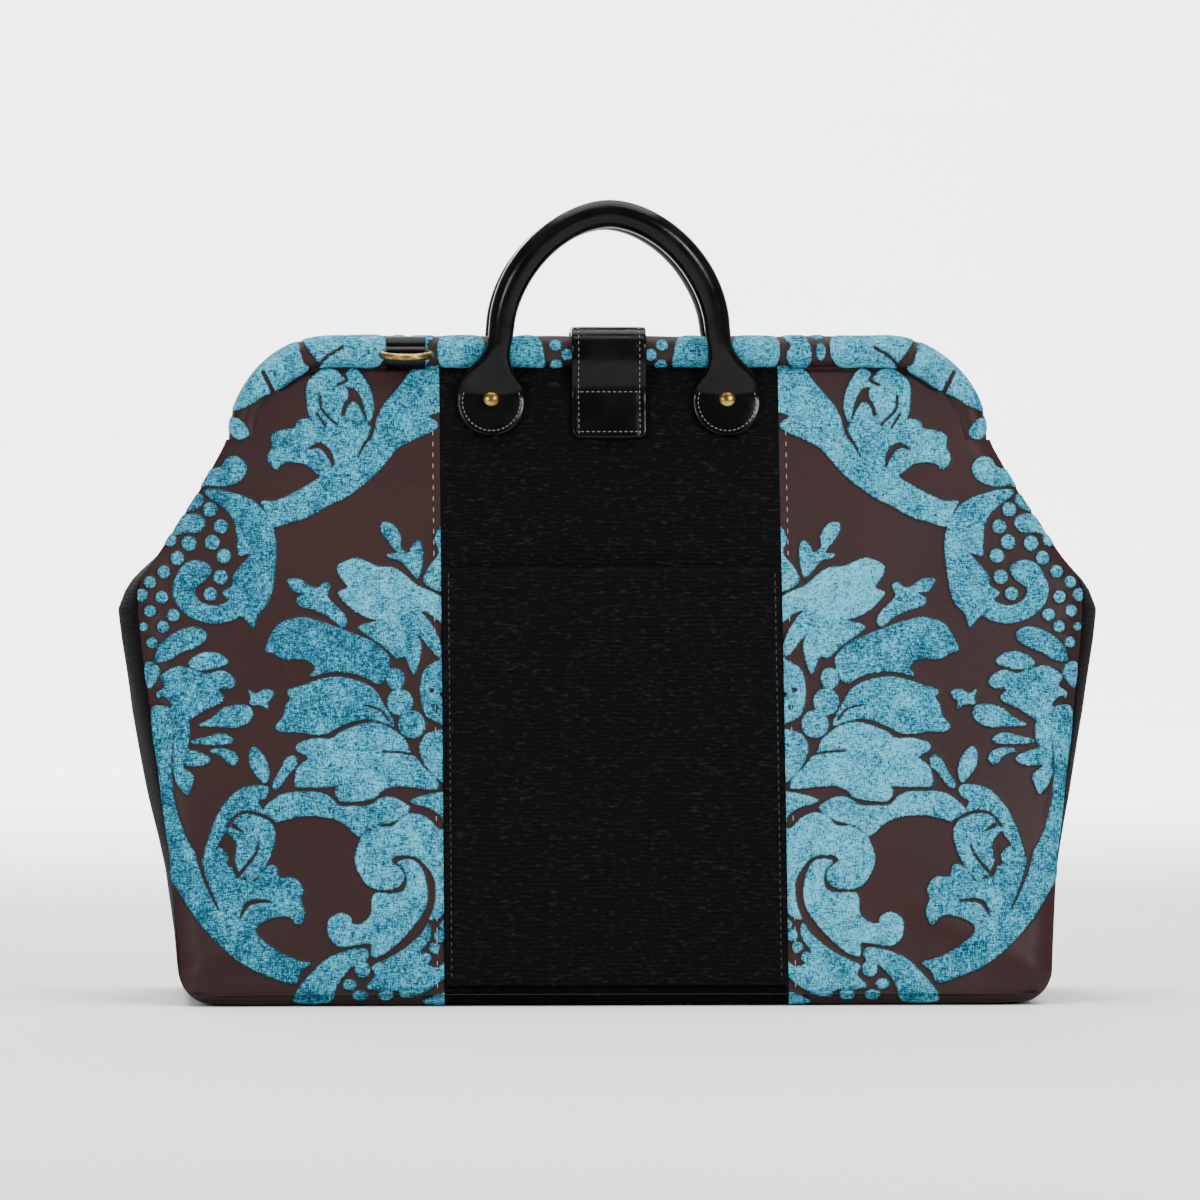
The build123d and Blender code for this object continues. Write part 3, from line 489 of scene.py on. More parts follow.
# walls
cloth = {"step": 1.0, "pileHeight": 0.75, "collarPile": 0.6, "plainStep": 2.2, "panelTop": 304, "sideShadeTone": 0.3}
turnField = {
    -1: {"start": (0, 0, 0.2615), "end": (0, -0.0107, 0.2748), "body": "front_frame"},
    1: {"start": (0, 0, 0.2615), "end": (0, 0.0107, 0.2748), "body": "back_frame"},
}
faceName = {-1: "front", 1: "back"}
sideName = {-1: "left", 1: "right"}


def bendWithMouth(piece):
    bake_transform(piece)


damaskPieces = []
chenillePieces = []
panelField = None
for face in (-1, 1):
    for side in (-1, 1):
        name = f"{faceName[face]}_{sideName[side]}_carpet"
        piece = wallPanel(name, side, face, round(144 / cloth["step"]), round(cloth["panelTop"] / cloth["step"]))
        if panelField is None:
            points = meshPoints(piece) * 1000
            panelField = carpetField(points[:, 0], points[:, 2], carpetShapes, carpetSpots, carpetCuts, carpetStems)
            print("carpet pattern laid out")
        pile, tone = panelField
        sideShade = cloth["sideShadeTone"] * face * side + 0.25  # painted shade: the pile is darker on one side of each wall
        raisePile(piece, pile, tone - sideShade, cloth["pileHeight"])
        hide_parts(f"{faceName[face]}_{sideName[side]}_panel")
        damaskPieces.append(piece)
        bendWithMouth(piece)
    name = f"{faceName[face]}_centre_cloth"
    piece = wallPanel(name, 0, face, round(162 / cloth["plainStep"]),
                      round(cloth["panelTop"] / cloth["plainStep"]))
    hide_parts(f"{faceName[face]}_centre_panel")
    chenillePieces.append(piece)
    bendWithMouth(piece)
print("walls made")


# gussets, base and lining
def bulgeAt(z):
    return np.interp(z, bulgeHeights, bulgeHalves)


def gussetEdge(t, z, inset=0.0):
    # t is 0 at the crease in the middle of the end and 1 at the seam with the wall
    bulge = bulgeAt(z)
    shape = np.where(bulge > 0, np.clip(1 - t**2, 0, 1) ** 0.7, np.clip(1 - t, 0, 1) ** 0.8)
    crease = 2.5 * np.exp(-(t / 0.1) ** 2) * ease(z, 60, 200) * (1 - 0.8 * ease(z, 225, 248))
    ripple = 0.8 * np.sin(z / 14 + 3 * t) * np.sin(3.1 * t) * ease(z, 20, 80)
    return endHalf(z) - inset + bulge * shape - crease + ripple * np.clip(1 - t, 0, 1)


def gussetHalf(name, side, face):
    def place(u, v):
        z = v * (258 + 6 * u)
        y = face * u * wallDepth(endHalf(z), z)
        return side * gussetEdge(u, z), y, z

    piece = gridSheet(name, 44, 130, place, (face > 0) == (side < 0))
    bendWithMouth(piece)
    chenillePieces.append(piece)
    return piece


gussets = {(side, face): gussetHalf(f"{sideName[side]}_gusset_{faceName[face]}", side, face)
           for side in (-1, 1) for face in (-1, 1)}
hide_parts("left_gusset")
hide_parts("right_gusset")


def placeBase(u, v):
    edge = float(endHalf(np.array(0.0)))
    depth = float(wallDepth(np.array(0.0), np.array(0.0)))
    x = (2 * u - 1) * edge
    rim = wallDepth(x, np.zeros_like(x))
    y = (2 * v - 1) * rim
    lift = 0.8 * np.clip(1 - (x / edge) ** 2, 0, 1) * np.clip(1 - (y / depth) ** 2, 0, 1)
    return x, y, lift


baseCloth = gridSheet("base_underside", 120, 56, placeBase, True)
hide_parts("base_cloth")
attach(baseCloth, "bag")
chenillePieces.append(baseCloth)


lining = {"gussetShare": 0.14, "inset": 3.6, "wallInset": 3.2}  # share: what goes round each gusset


def liningHalf(name, face):
    share = lining["gussetShare"]

    def place(u, v):
        span = np.abs(2 * u - 1)
        sign = np.where(u < 0.5, -1.0, 1.0)
        onWall = span < 1 - 2 * share
        t = np.clip((1 - span) / (2 * share), 0, 1)
        guess = span / (1 - 2 * share) * 175
        for _ in range(3):
            top = np.where(onWall, wallTopAt(guess) - 2, 257 + 4 * t)
            z = 5 + v * (top - 5)
            guess = np.clip(span / (1 - 2 * share), 0, 1) * (endHalf(z) - lining["inset"])
        wallX = guess
        wallY = wallDepth(wallX, z) - lining["wallInset"]
        gussetX = gussetEdge(t, z, lining["inset"])
        gussetY = t * (wallDepth(endHalf(z) - lining["inset"], z) - lining["wallInset"])
        x = sign * np.where(onWall, wallX, gussetX)
        y = face * np.where(onWall, wallY, gussetY)
        return x, y, z

    piece = gridSheet(name, 110, 70, place, face < 0)
    bendWithMouth(piece)
    return piece


liningPieces = [liningHalf("lining_front", -1), liningHalf("lining_back", 1)]


def placeFloor(u, v):
    x, y, z = placeBase(u, v)
    return x * 1.055, y * 1.09, z + 5


liningFloor = gridSheet("lining_floor", 40, 20, placeFloor)
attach(liningFloor, "bag")
liningPieces.append(liningFloor)
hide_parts("lining")
print("gussets, base and lining made")


# slip pocket
pocket = {"top": 205.0, "bottom": 9.0, "gape": 6.5, "hem": 11.0, "thickness": 1.6, "air": 0.6, "inset": 0.6}


def pocketGap(x, z):
    across = np.clip(1 - (x / bagShape["centreHalf"]) ** 2, 0, 1) ** 0.6
    return pocket["gape"] * across * ease(z, 95, pocket["top"]) ** 1.3


def placePocket(u, v):
    # the sheet runs up the front, over its folded top edge and down the inside of the hem
    span = pocket["top"] - pocket["bottom"]
    run = v * (span + pocket["hem"])
    turned = run > span
    z = np.where(turned, pocket["top"] - (run - span), pocket["bottom"] + run)
    x = (2 * u - 1) * (bagShape["centreHalf"] - pocket["inset"])
    roundTop = np.clip(1 - ((pocket["top"] - z) / 1.6), 0, 1)
    outside = pocketGap(x, z) + pocket["thickness"] + pocket["air"] - 0.8 * roundTop**2
    hemLine = 0.7 * np.exp(-(((pocket["top"] - pocket["hem"]) - z) / 1.2) ** 2)
    inside = pocketGap(x, z) + 0.5
    y = -(wallDepth(x, z) + np.where(turned, inside, outside - hemLine))
    return x, y, z


pocketSheet = gridSheet("slip_pocket", 74, 94, placePocket)
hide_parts("pocket_panel")
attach(pocketSheet, "bag")
chenillePieces.append(pocketSheet)
print("pocket made")


# rolled collars
def rollPath(run):
    # run along the collar's middle line from its left end: side, height, and the outward direction
    corner = bagShape["rollCorner"]
    straight = 2 * (bagShape["rollHalf"] - corner)
    leg = bagShape["rollTop"] - corner - bagShape["rollEnd"] + 4.5
    quarter = corner * math.pi / 2
    total = 2 * leg + 2 * quarter + straight
    run = np.asarray(run) * total
    mirror = run > total / 2
    part = np.where(mirror, total - run, run)
    angle = np.clip((part - leg) / corner, 0, math.pi / 2)
    level = np.clip(part - leg - quarter, 0, None)
    low = np.minimum(part - leg, 0)
    x = -(bagShape["rollHalf"] - corner) - corner * np.cos(angle) + level
    z = bagShape["rollTop"] - corner + corner * np.sin(angle) + low
    outX, outZ = -np.cos(angle), np.sin(angle)
    fromEnd = np.minimum(run, total - run)
    return np.where(mirror, -x, x), z, np.where(mirror, -outX, outX), outZ, fromEnd


def collarRoll(name, face):
    lean = math.radians(bagShape["rollLean"])

    def place(u, v):
        x, z, outX, outZ, fromEnd = rollPath(u)
        angle = 2 * math.pi * v
        closing = np.clip(fromEnd / 6.5, 0, 1)
        radius = bagShape["rollRadius"] * np.sqrt(np.clip(1 - (1 - closing) ** 2.2, 0, 1))
        pleats = 0.55 * np.sin(7 * angle) * ease(-fromEnd, -11, -1)
        radius = np.clip(radius + pleats * closing, 0, None)
        radius = radius + 0.18 * np.sin(u * 61 + 2 * np.sin(angle)) * closing
        out = radius * np.cos(angle)
        away = radius * np.sin(angle)
        px, pz = x + out * outX, z + out * outZ
        drop = bagShape["rollTop"] - pz
        y = face * (bagShape["rollOffset"] + drop * math.sin(lean) + away * math.cos(lean))
        return px, y, bagShape["rollTop"] - drop * math.cos(lean) + away * math.sin(lean)

    piece = gridSheet(name, 400, 46, place)
    fixNormals(piece)
    points = meshPoints(piece) * 1000
    pile, tone = carpetField(points[:, 0], points[:, 2], collarShapes, collarSpots, collarCuts, [])
    raisePile(piece, pile, tone, cloth["collarPile"])
    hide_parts(f"{faceName[face]}_collar")
    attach(piece, turnField[face]["body"])
    damaskPieces.append(piece)
    return piece


for face in (-1, 1):
    collarRoll(f"{faceName[face]}_collar_roll", face)
print("collars made")


# leather pieces
def loft(name, rows, columns, section):
    # section(s, angle) gives the surface point for each row and angle; the ends close to a point
    def place(u, v):
        return section(u, 2 * math.pi * v)

    piece = gridSheet(name, rows, columns, place)
    fixNormals(piece)
    return piece


handle = {
    "tubeRadius": 6.75, "footRadius": 6.1, "archHalf": 51.5, "archHeight": 55.6, "archFoot": 318.0, "archPower": 1.8,
    "padX": 56.3, "padHeight": 284.0, "padRadius": 16.4, "padThickness": 3.4,
    "standoff": 23.25, "flexLow": 301.0, "flexHigh": 309.0,
}


# half width and half thickness of a handle's pad and neck, by height
padWidths = [(284, 16.3), (289, 16.1), (293, 14.8), (297, 12.2), (301, 9.2), (305, 7.0), (310, 5.9), (318, 6.1)]
padDepths = [(266, 1.6), (284, 1.7), (290, 2.1), (295, 3.0), (300, 4.2), (305, 5.1), (310, 5.6), (318, 6.1)]


def wallFace(z):
    return bagShape["mouthDepth"] + (bagShape["wallTop"] - z) * bagShape["wallLean"]


def padDepth(z, thick):
    # the pad lies on the wall and its neck climbs out to the plane of the arch
    climb = float(ease(np.array(z), 281, 312))
    return (wallFace(z) + 0.4 + thick) * (1 - climb) + handle["standoff"] * climb


def handleLine():
    # middle line of half a handle from the pad's end to the top of the arch
    # each row: side, depth, height, half width, half depth
    widths = roundLine(padWidths, False, 6)
    depths = roundLine(padDepths, False, 6)
    padLow = handle["padHeight"] - handle["padRadius"]
    rows = []
    for t in np.linspace(0, 1, 70):
        z = padLow + t**1.25 * (handle["archFoot"] - padLow)
        below = max(handle["padHeight"] - z, 0)
        half = float(np.interp(z, widths[:, 0], widths[:, 1]))
        if below:
            half = math.sqrt(max(handle["padRadius"] ** 2 - below**2, 0))
        thick = float(np.interp(z, depths[:, 0], depths[:, 1]))
        depth = padDepth(z, thick)
        slide = float(ease(np.array(z), 290, 322))
        side = handle["padX"] * (1 - slide) + handle["archHalf"] * slide
        rows.append((side, depth, z, half, thick))
    for t in np.linspace(0.02, 1, 40):
        angle = t * math.pi / 2
        power = 2 / handle["archPower"]
        x = handle["archHalf"] * math.cos(angle) ** power
        z = handle["archFoot"] + handle["archHeight"] * math.sin(angle) ** power
        grow = handle["footRadius"] + (handle["tubeRadius"] - handle["footRadius"]) * min(1.0, 3 * t)
        rows.append((x, handle["standoff"], z, grow, grow))
    return rows


def handleMesh(name, face):
    half = handleLine()
    rows = half + [(-x, y, z, w, d) for x, y, z, w, d in reversed(half[:-1])]
    line = np.array(rows)
    run = np.linspace(0, 1, len(line))
    tangent = np.gradient(line[:, :3], axis=0)
    tangent /= np.linalg.norm(tangent, axis=1)[:, None]
    # near the pads the section faces out along the wall; on the arch it is round
    acrossDir = np.cross(tangent, [0, 1, 0])
    acrossDir /= np.linalg.norm(acrossDir, axis=1)[:, None]
    normalDir = np.cross(acrossDir, tangent)
    padness = ease(-line[:, 2], -301, -279)

    def section(s, angle):
        spot = [np.interp(s, run, line[:, k]) for k in range(5)]
        side = [np.interp(s, run, acrossDir[:, k]) for k in range(3)]
        out = [np.interp(s, run, normalDir[:, k]) for k in range(3)]
        flat = np.interp(s, run, padness)
        c, d = np.cos(angle), np.sin(angle)
        power = 1 - 0.62 * flat
        wide = np.sign(c) * np.abs(c) ** (1 - 0.35 * flat) * spot[3]
        thick = np.sign(d) * np.abs(d) ** power * spot[4]
        # the tube runs on under the leather as a ridge down the middle of the pad
        ridge = 2.4 * np.exp(-(wide / 5.5) ** 2) * ease(spot[2], 280, 296) * flat * (np.sign(d) * out[1] > 0)
        fromMiddle = np.hypot(wide, spot[2] - handle["padHeight"]) / handle["padRadius"]
        ridge = ridge + 0.6 * np.clip(1 - fromMiddle**2, 0, 1) * flat * (np.sign(d) * out[1] > 0)
        thick = thick + np.sign(d) * ridge
        x = spot[0] + side[0] * wide + out[0] * thick
        y = spot[1] + side[1] * wide + out[1] * thick
        z = spot[2] + side[2] * wide + out[2] * thick
        return x, face * y, z

    piece = loft(name, 320, 40, section)
    label = faceName[face]
    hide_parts(f"{label}_handle_cover", f"{label}_left_tab", f"{label}_right_tab")
    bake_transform(piece)
    return piece


leatherPieces = [handleMesh(f"{faceName[face]}_handle_leather", face) for face in (-1, 1)]
print("handles made")


strap = {"half": 17.85, "thickness": 3.2, "bottom": 266.0, "flapBottom": 262.0, "corner": 5.0, "sewnTop": 288.0,
         "stitchIn": 14.6, "air": 0.4, "flapGap": 3.2}


def strapLine():
    # the strap's middle surface in depth and height, from its sewn end over the collars to its loose end
    mid = strap["thickness"] / 2
    heights = (strap["bottom"], (strap["bottom"] + strap["sewnTop"]) / 2, strap["sewnTop"])
    points = [(-(wallFace(z) + strap["air"] + mid), z) for z in heights]
    points += [(-17.9, 296.0), (-18.8, 304.0)]
    for angle in np.linspace(170, 90, 9):
        a = math.radians(angle)
        points.append((-8 + 10.7 * math.cos(a), 307.8 + 10.7 * math.sin(a)))
    points += [(-2, 318.4), (4, 318.4), (9.5, 318.2)]
    for angle in np.linspace(76, 0, 8):
        a = math.radians(angle)
        points.append((10.7 + 10.9 * math.cos(a), 307.6 + 10.9 * math.sin(a)))
    points += [(23.5, 296), (25.4, 284), (27.3, 272)]
    points.append((wallFace(strap["flapBottom"]) + strap["flapGap"] + mid, strap["flapBottom"]))
    line = roundLine(points, False, 5)
    step = np.concatenate([[0], np.cumsum(np.linalg.norm(np.diff(line, axis=0), axis=1))])
    return line, step


strapPath, strapRun = strapLine()


def strapPoint(run):
    y = np.interp(run, strapRun, strapPath[:, 0])
    z = np.interp(run, strapRun, strapPath[:, 1])
    ahead = np.clip(run + 0.5, 0, strapRun[-1])
    back = np.clip(run - 0.5, 0, strapRun[-1])
    dy = np.interp(ahead, strapRun, strapPath[:, 0]) - np.interp(back, strapRun, strapPath[:, 0])
    dz = np.interp(ahead, strapRun, strapPath[:, 1]) - np.interp(back, strapRun, strapPath[:, 1])
    size = np.hypot(dy, dz)
    return y, z, -dz / size, dy / size


def strapSection(s, angle):
    total = strapRun[-1]
    run = s * total
    y, z, outY, outZ = strapPoint(run)
    fromEnd = np.minimum(run, total - run)
    corner = strap["corner"]
    low = np.clip(corner - fromEnd, 0, corner)
    half = strap["half"] - (corner - np.sqrt(corner**2 - low**2))
    thick = strap["thickness"] / 2 * np.sqrt(np.clip(1 - (1 - np.clip(fromEnd / 1.3, 0, 1)) ** 2, 0, 1))
    c, d = np.cos(angle), np.sin(angle)
    wide = np.sign(c) * np.abs(c) ** 0.16 * half * np.where(fromEnd < 0.01, 0.0, 1)
    rise = np.sign(d) * np.abs(d) ** 0.34 * thick
    # leather thins a little under each line of stitching
    press = 0.28 * (np.exp(-((np.abs(wide) - strap["stitchIn"]) / 0.8) ** 2))
    press = press * np.sign(rise) * (np.abs(rise) > 0.4)
    rise = rise - press
    return wide, y + outY * rise, z + outZ * rise


strapPiece = loft("strap_leather", 170, 72, strapSection)
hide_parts("strap_anchor", "closing_strap")
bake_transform(strapPiece)
leatherPieces.append(strapPiece)
print("strap made")


# a leather tag lies round the front of the collar, and a loop of it holds the bar of each ring
ringTag = {"x": 97.0, "half": 9.4, "thickness": 1.5, "barDepth": 19.35, "barHeight": 307.0, "loopRadius": 2.55}


def tagSection(face, middleY, middleZ, radius, low, high):
    # a strip bent round a line along the bag, from one angle to another, measured up from straight outwards
    def section(s, angle):
        turn = math.radians(low) + s * math.radians(high - low)
        outY, outZ = np.cos(turn), np.sin(turn)
        fromEnd = np.minimum(s, 1 - s) * math.radians(abs(high - low)) * radius
        close = np.sqrt(np.clip(1 - (1 - np.clip(fromEnd / 0.8, 0, 1)) ** 2, 0, 1))
        c, d = np.cos(angle), np.sin(angle)
        wide = np.sign(c) * np.abs(c) ** 0.2 * ringTag["half"] * np.where(fromEnd < 0.01, 0, 1)
        rise = radius + np.sign(d) * np.abs(d) ** 0.4 * ringTag["thickness"] / 2 * close
        return face * ringTag["x"] + wide, face * (middleY + outY * rise), middleZ + outZ * rise

    return section


for face in (-1, 1):
    reach = bagShape["rollRadius"] + 0.75
    tags = [
        ("patch", tagSection(face, rollDepth(306.5), 307.4, reach, -68, 62)),
        ("loop", tagSection(face, ringTag["barDepth"], ringTag["barHeight"], ringTag["loopRadius"], -150, 150)),
    ]
    for label, section in tags:
        piece = loft(f"{faceName[face]}_ring_{label}", 50, 28, section)
        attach(piece, turnField[face]["body"])
        if label == "patch":
            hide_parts(f"{faceName[face]}_ring_loop")
        leatherPieces.append(piece)
print("ring tags made")


# round brass heads that hold the handle pads
rivetHead = {"radius": 4.1, "height": 2.5, "rim": 0.5}


def rivetDomes(name, face):
    clearSelection()
    bpy.ops.mesh.primitive_uv_sphere_add(segments=40, ring_count=24, radius=rivetHead["radius"] / 1000)
    dome = bpy.context.object
    bpy.ops.object.mode_set(mode="EDIT")
    bpy.ops.mesh.select_all(action="SELECT")
    bpy.ops.mesh.bisect(plane_co=(0, 0, 0), plane_no=(0, 0, 1), use_fill=False, clear_inner=True)
    bpy.ops.mesh.select_all(action="SELECT")
    bpy.ops.transform.resize(value=(1, 1, rivetHead["height"] / rivetHead["radius"]))
    bpy.ops.mesh.select_all(action="DESELECT")
    bpy.ops.object.mode_set(mode="OBJECT")
    for edge in dome.data.edges:
        edge.select = all(abs(dome.data.vertices[i].co.z) < 1e-6 for i in edge.vertices)
    bpy.ops.object.mode_set(mode="EDIT")
    bpy.ops.mesh.select_mode(type="EDGE")
    bpy.ops.mesh.extrude_region_move(TRANSFORM_OT_translate={"value": (0, 0, -rivetHead["rim"] / 1000)})
    bpy.ops.mesh.edge_face_add()
    bpy.ops.object.mode_set(mode="OBJECT")
    model = meshPoints(dome)
    lean = math.atan(bagShape["wallLean"])
    copies = []
    for side in (-1, 1):
        copy = dome.copy()
        copy.data = dome.data.copy()
        bpy.context.scene.collection.objects.link(copy)
        base = handle["padThickness"] + 0.75
        # the head's own up becomes the wall's outward direction
        outward = np.array([0, face * math.cos(lean), math.sin(lean)])
        across = np.array([1.0, 0, 0])
        upward = np.cross(outward, across)
        middle = np.array([side * handle["padX"], face * wallFace(handle["padHeight"]), handle["padHeight"]]) / 1000
        middle = middle + outward * base / 1000
        setPoints(copy, middle + model @ np.array([across, upward, outward]))
        copies.append(copy)
    bpy.data.objects.remove(dome)
    clearSelection()
    for copy in copies:
        copy.select_set(True)
    bpy.context.view_layer.objects.active = copies[0]
    bpy.ops.object.join()
    piece = bpy.context.object
    piece.name = name
    fixNormals(piece, 0.0000001)
    smooth(piece, 50)
    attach(piece, turnField[face]["body"])
    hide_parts(f"{faceName[face]}_tab_rivets")
    return piece


rivetPieces = [rivetDomes(f"{faceName[face]}_rivet_heads", face) for face in (-1, 1)]
print("rivets made")


# stitching
clearSelection()
bpy.ops.mesh.primitive_uv_sphere_add(segments=6, ring_count=5, radius=0.5, location=(0, 0, 0))
stitchModel = bpy.context.object
stitchPoints = meshPoints(stitchModel)
stitchFaces = [tuple(face.vertices) for face in stitchModel.data.polygons]
bpy.data.objects.remove(stitchModel)


def stitchRow(name, places, length, width, height=0.5):
    # places: middle, direction along the thread and outward direction of each stitch, in millimetres
    verts, faces = [], []
    for middle, along, out in places:
        along = np.array(along, float)
        along /= np.linalg.norm(along)
        out = np.array(out, float)
        out /= np.linalg.norm(out)
        side = np.cross(along, out)
        base = len(verts) * len(stitchPoints)
        verts.append(np.array(middle) + stitchPoints @ np.array([along * length, side * width, out * height]))
        faces.extend([tuple(i + base for i in face) for face in stitchFaces])
    mesh = bpy.data.meshes.new(name)
    mesh.from_pydata((np.concatenate(verts) * 0.001).tolist(), [], faces)
    piece = bpy.data.objects.new(name, mesh)
    bpy.context.scene.collection.objects.link(piece)
    fixNormals(piece, 0.0000001)
    smooth(piece)
    return piece


def wallSpot(x, z, face, proud):
    y = face * (wallDepth(np.array(x), np.array(z)) + proud)
    return (x, float(y), z)


thread = {"seamX": 84.3, "pocketX": 77.6, "seamStep": 5.2, "pocketStep": 3.6, "strapStep": 2.9, "crossStep": 2.6}
paleThread = []
darkThread = []
blackThread = []
for face in (-1, 1):
    for side in (-1, 1):
        places = [(wallSpot(side * thread["seamX"], z, face, 0.55), (0, -0.28 * face, 1), (0, face, 0.28))
                  for z in np.arange(9, 299, thread["seamStep"])]
        piece = stitchRow(f"{faceName[face]}_{sideName[side]}_seam_thread", places, 2.9, 0.6)
        bendWithMouth(piece)
        paleThread.append(piece)

places = []
for z in np.arange(14, 203, thread["pocketStep"]):
    for side in (-1, 1):
        x = side * thread["pocketX"]
        y = -(float(wallDepth(np.array(x), np.array(z)) + pocketGap(np.array(x), np.array(z))) + 2.3)
        places.append(((x, y, z), (0, 0.28, 1), (0, -1, 0.28)))
piece = stitchRow("pocket_thread", places, 2.4, 0.6)
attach(piece, "bag")
blackThread.append(piece)


def padStitches(face):
    places = []
    inner = handle["padRadius"] - 2.6
    for side in (-1, 1):
        for angle in np.radians(np.arange(-196, 17, 9.2)):
            x = math.cos(angle) * inner
            rise = math.sin(angle) * inner
            z = handle["padHeight"] + rise
            y = face * (padDepth(z, 1.7) + 2.0)
            along = (-math.sin(angle), -face * 0.28 * math.cos(angle), math.cos(angle))
            places.append(((side * handle["padX"] + x, y, z), along, (0, face, 0.28)))
    return places


for face in (-1, 1):
    piece = stitchRow(f"{faceName[face]}_pad_thread", padStitches(face), 1.7, 0.55)
    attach(piece, turnField[face]["body"])
    darkThread.append(piece)

places = []
for run in np.arange(3.2, strapRun[-1] - 3, thread["strapStep"]):
    y, z, outY, outZ = (float(value) for value in strapPoint(np.array(run)))
    lift = strap["thickness"] / 2 - 0.1
    for side in (-1, 1):
        middle = (side * strap["stitchIn"], y + outY * lift, z + outZ * lift)
        places.append((middle, (0, outZ, -outY), (0, outY, outZ)))
runsAbove = [run for run in np.arange(15, 32, 0.25) if strapPoint(np.array(run))[1] >= strap["sewnTop"] + 0.5]
crossRuns = [runsAbove[0], 3.4]
for run in crossRuns:
    y, z, outY, outZ = (float(value) for value in strapPoint(np.array(run)))
    for x in np.arange(-13, 13.5, thread["crossStep"]):
        lift = strap["thickness"] / 2 - 0.05
        places.append(((x, y + outY * lift, z + outZ * lift), (1, 0, 0), (0, outY, outZ)))
piece = stitchRow("strap_thread", places, 1.9, 0.55)
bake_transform(piece)
darkThread.append(piece)
print("stitching made")


# materials
def shade(red, green, blue):
    # a colour from its usual 0 to 255 values
    channel = [value / 255 for value in (red, green, blue)]
    return tuple(c / 12.92 if c <= 0.04045 else ((c + 0.055) / 1.055) ** 2.4 for c in channel) + (1.0,)


def add(tree, kind, links=None, **values):
    # a node with its plain settings, socket values and links
    node = tree.nodes.new(kind)
    for name, value in values.items():
        if hasattr(node, name):
            setattr(node, name, value)
    for name, value in (links or {}).items():
        socket = node.inputs[name]
        if isinstance(value, bpy.types.NodeSocket):
            tree.links.new(value, socket)
        else:
            socket.default_value = value
    return node


def math2(tree, operation, first, second=0.0, clamp=False):
    return add(tree, "ShaderNodeMath", {0: first, 1: second}, operation=operation, use_clamp=clamp).outputs[0]


def mixColour(tree, share, first, second, blend="MIX"):
    node = add(tree, "ShaderNodeMix", {0: share}, data_type="RGBA", blend_type=blend)
    for index, value in ((6, first), (7, second)):
        if isinstance(value, bpy.types.NodeSocket):
            tree.links.new(value, node.inputs[index])
        else:
            node.inputs[index].default_value = value
    return node.outputs[2]


def remap(tree, value, low, high, outLow=0.0, outHigh=1.0, kind="SMOOTHSTEP"):
    node = add(tree, "ShaderNodeMapRange", {"Value": value, "From Min": low, "From Max": high,
                                            "To Min": outLow, "To Max": outHigh}, interpolation_type=kind)
    return node.outputs[0]


def noise(tree, vector, scale, size, detail=2.0, roughness=0.5):
    # size stretches the noise: millimetres along each axis
    stretch = add(tree, "ShaderNodeMapping", {"Vector": vector, "Scale": tuple(1000 / s for s in size)})
    node = add(tree, "ShaderNodeTexNoise", {"Vector": stretch.outputs[0], "Scale": scale, "Detail": detail,
                                            "Roughness": roughness})
    return node.outputs["Fac"]


def newGroup(name, inputs, outputs):
    group = bpy.data.node_groups.new(name, "ShaderNodeTree")
    for label, kind, value in inputs:
        socket = group.interface.new_socket(label, in_out="INPUT", socket_type=kind)
        if value is not None:
            socket.default_value = value
    for label, kind in outputs:
        group.interface.new_socket(label, in_out="OUTPUT", socket_type=kind)
    return group, group.nodes.new("NodeGroupInput"), group.nodes.new("NodeGroupOutput")


def useGroup(tree, group, **values):
    node = tree.nodes.new("ShaderNodeGroup")
    node.node_tree = group
    for name, value in values.items():
        if isinstance(value, bpy.types.NodeSocket):
            tree.links.new(value, node.inputs[name])
        else:
            node.inputs[name].default_value = value
    return node


def newMaterial(name, **values):
    material = bpy.data.materials.new(name)
    material.use_nodes = True
    tree = material.node_tree
    shader = tree.nodes["Principled BSDF"]
    for label, value in values.items():
        shader.inputs[label.replace("_", " ")].default_value = value
    where = tree.nodes.new("ShaderNodeTexCoord").outputs["Object"]
    return material, tree, shader, where


def bump(tree, shader, height, strength, distance):
    node = add(tree, "ShaderNodeBump", {"Height": height, "Strength": strength, "Distance": distance})
    tree.links.new(node.outputs[0], shader.inputs["Normal"])


def makeWeave():
    # ribs that run along the cloth, with loose flecks of thread
    group, into, out = newGroup(
        "clothWeave",
        [("Vector", "NodeSocketVector", None), ("Rib", "NodeSocketFloat", 0.9), ("Fleck", "NodeSocketFloat", 1.5)],
        [("Ribs", "NodeSocketFloat"), ("Flecks", "NodeSocketFloat")],
    )
    wobble = noise(group, into.outputs["Vector"], 1.0, (9, 9, 9), 1.0)
    split = add(group, "ShaderNodeSeparateXYZ", {0: into.outputs["Vector"]})
    height = math2(group, "MULTIPLY", split.outputs[2], 1000.0)
    shifted = math2(group, "ADD", height, math2(group, "MULTIPLY", wobble, 2.2))
    turns = math2(group, "DIVIDE", math2(group, "MULTIPLY", shifted, 2 * math.pi), into.outputs["Rib"])
    ribs = math2(group, "ADD", math2(group, "MULTIPLY", math2(group, "SINE", turns), 0.5), 0.5)
    group.links.new(ribs, out.inputs["Ribs"])
    long = add(group, "ShaderNodeVectorMath", {0: into.outputs["Vector"], 1: (330, 330, 1100)},
               operation="MULTIPLY")
    scale = math2(group, "DIVIDE", 1.0, into.outputs["Fleck"])
    grain = add(group, "ShaderNodeTexNoise",
                {"Vector": long.outputs[0], "Scale": scale, "Detail": 3.0, "Roughness": 0.6})
    group.links.new(grain.outputs["Fac"], out.inputs["Flecks"])
    return group


weaveGroup = makeWeave()


def inMillimetres(group, into):
    return add(group, "ShaderNodeVectorMath", {0: into.outputs["Vector"], 1: (1000, 1000, 1000)},
               operation="MULTIPLY")


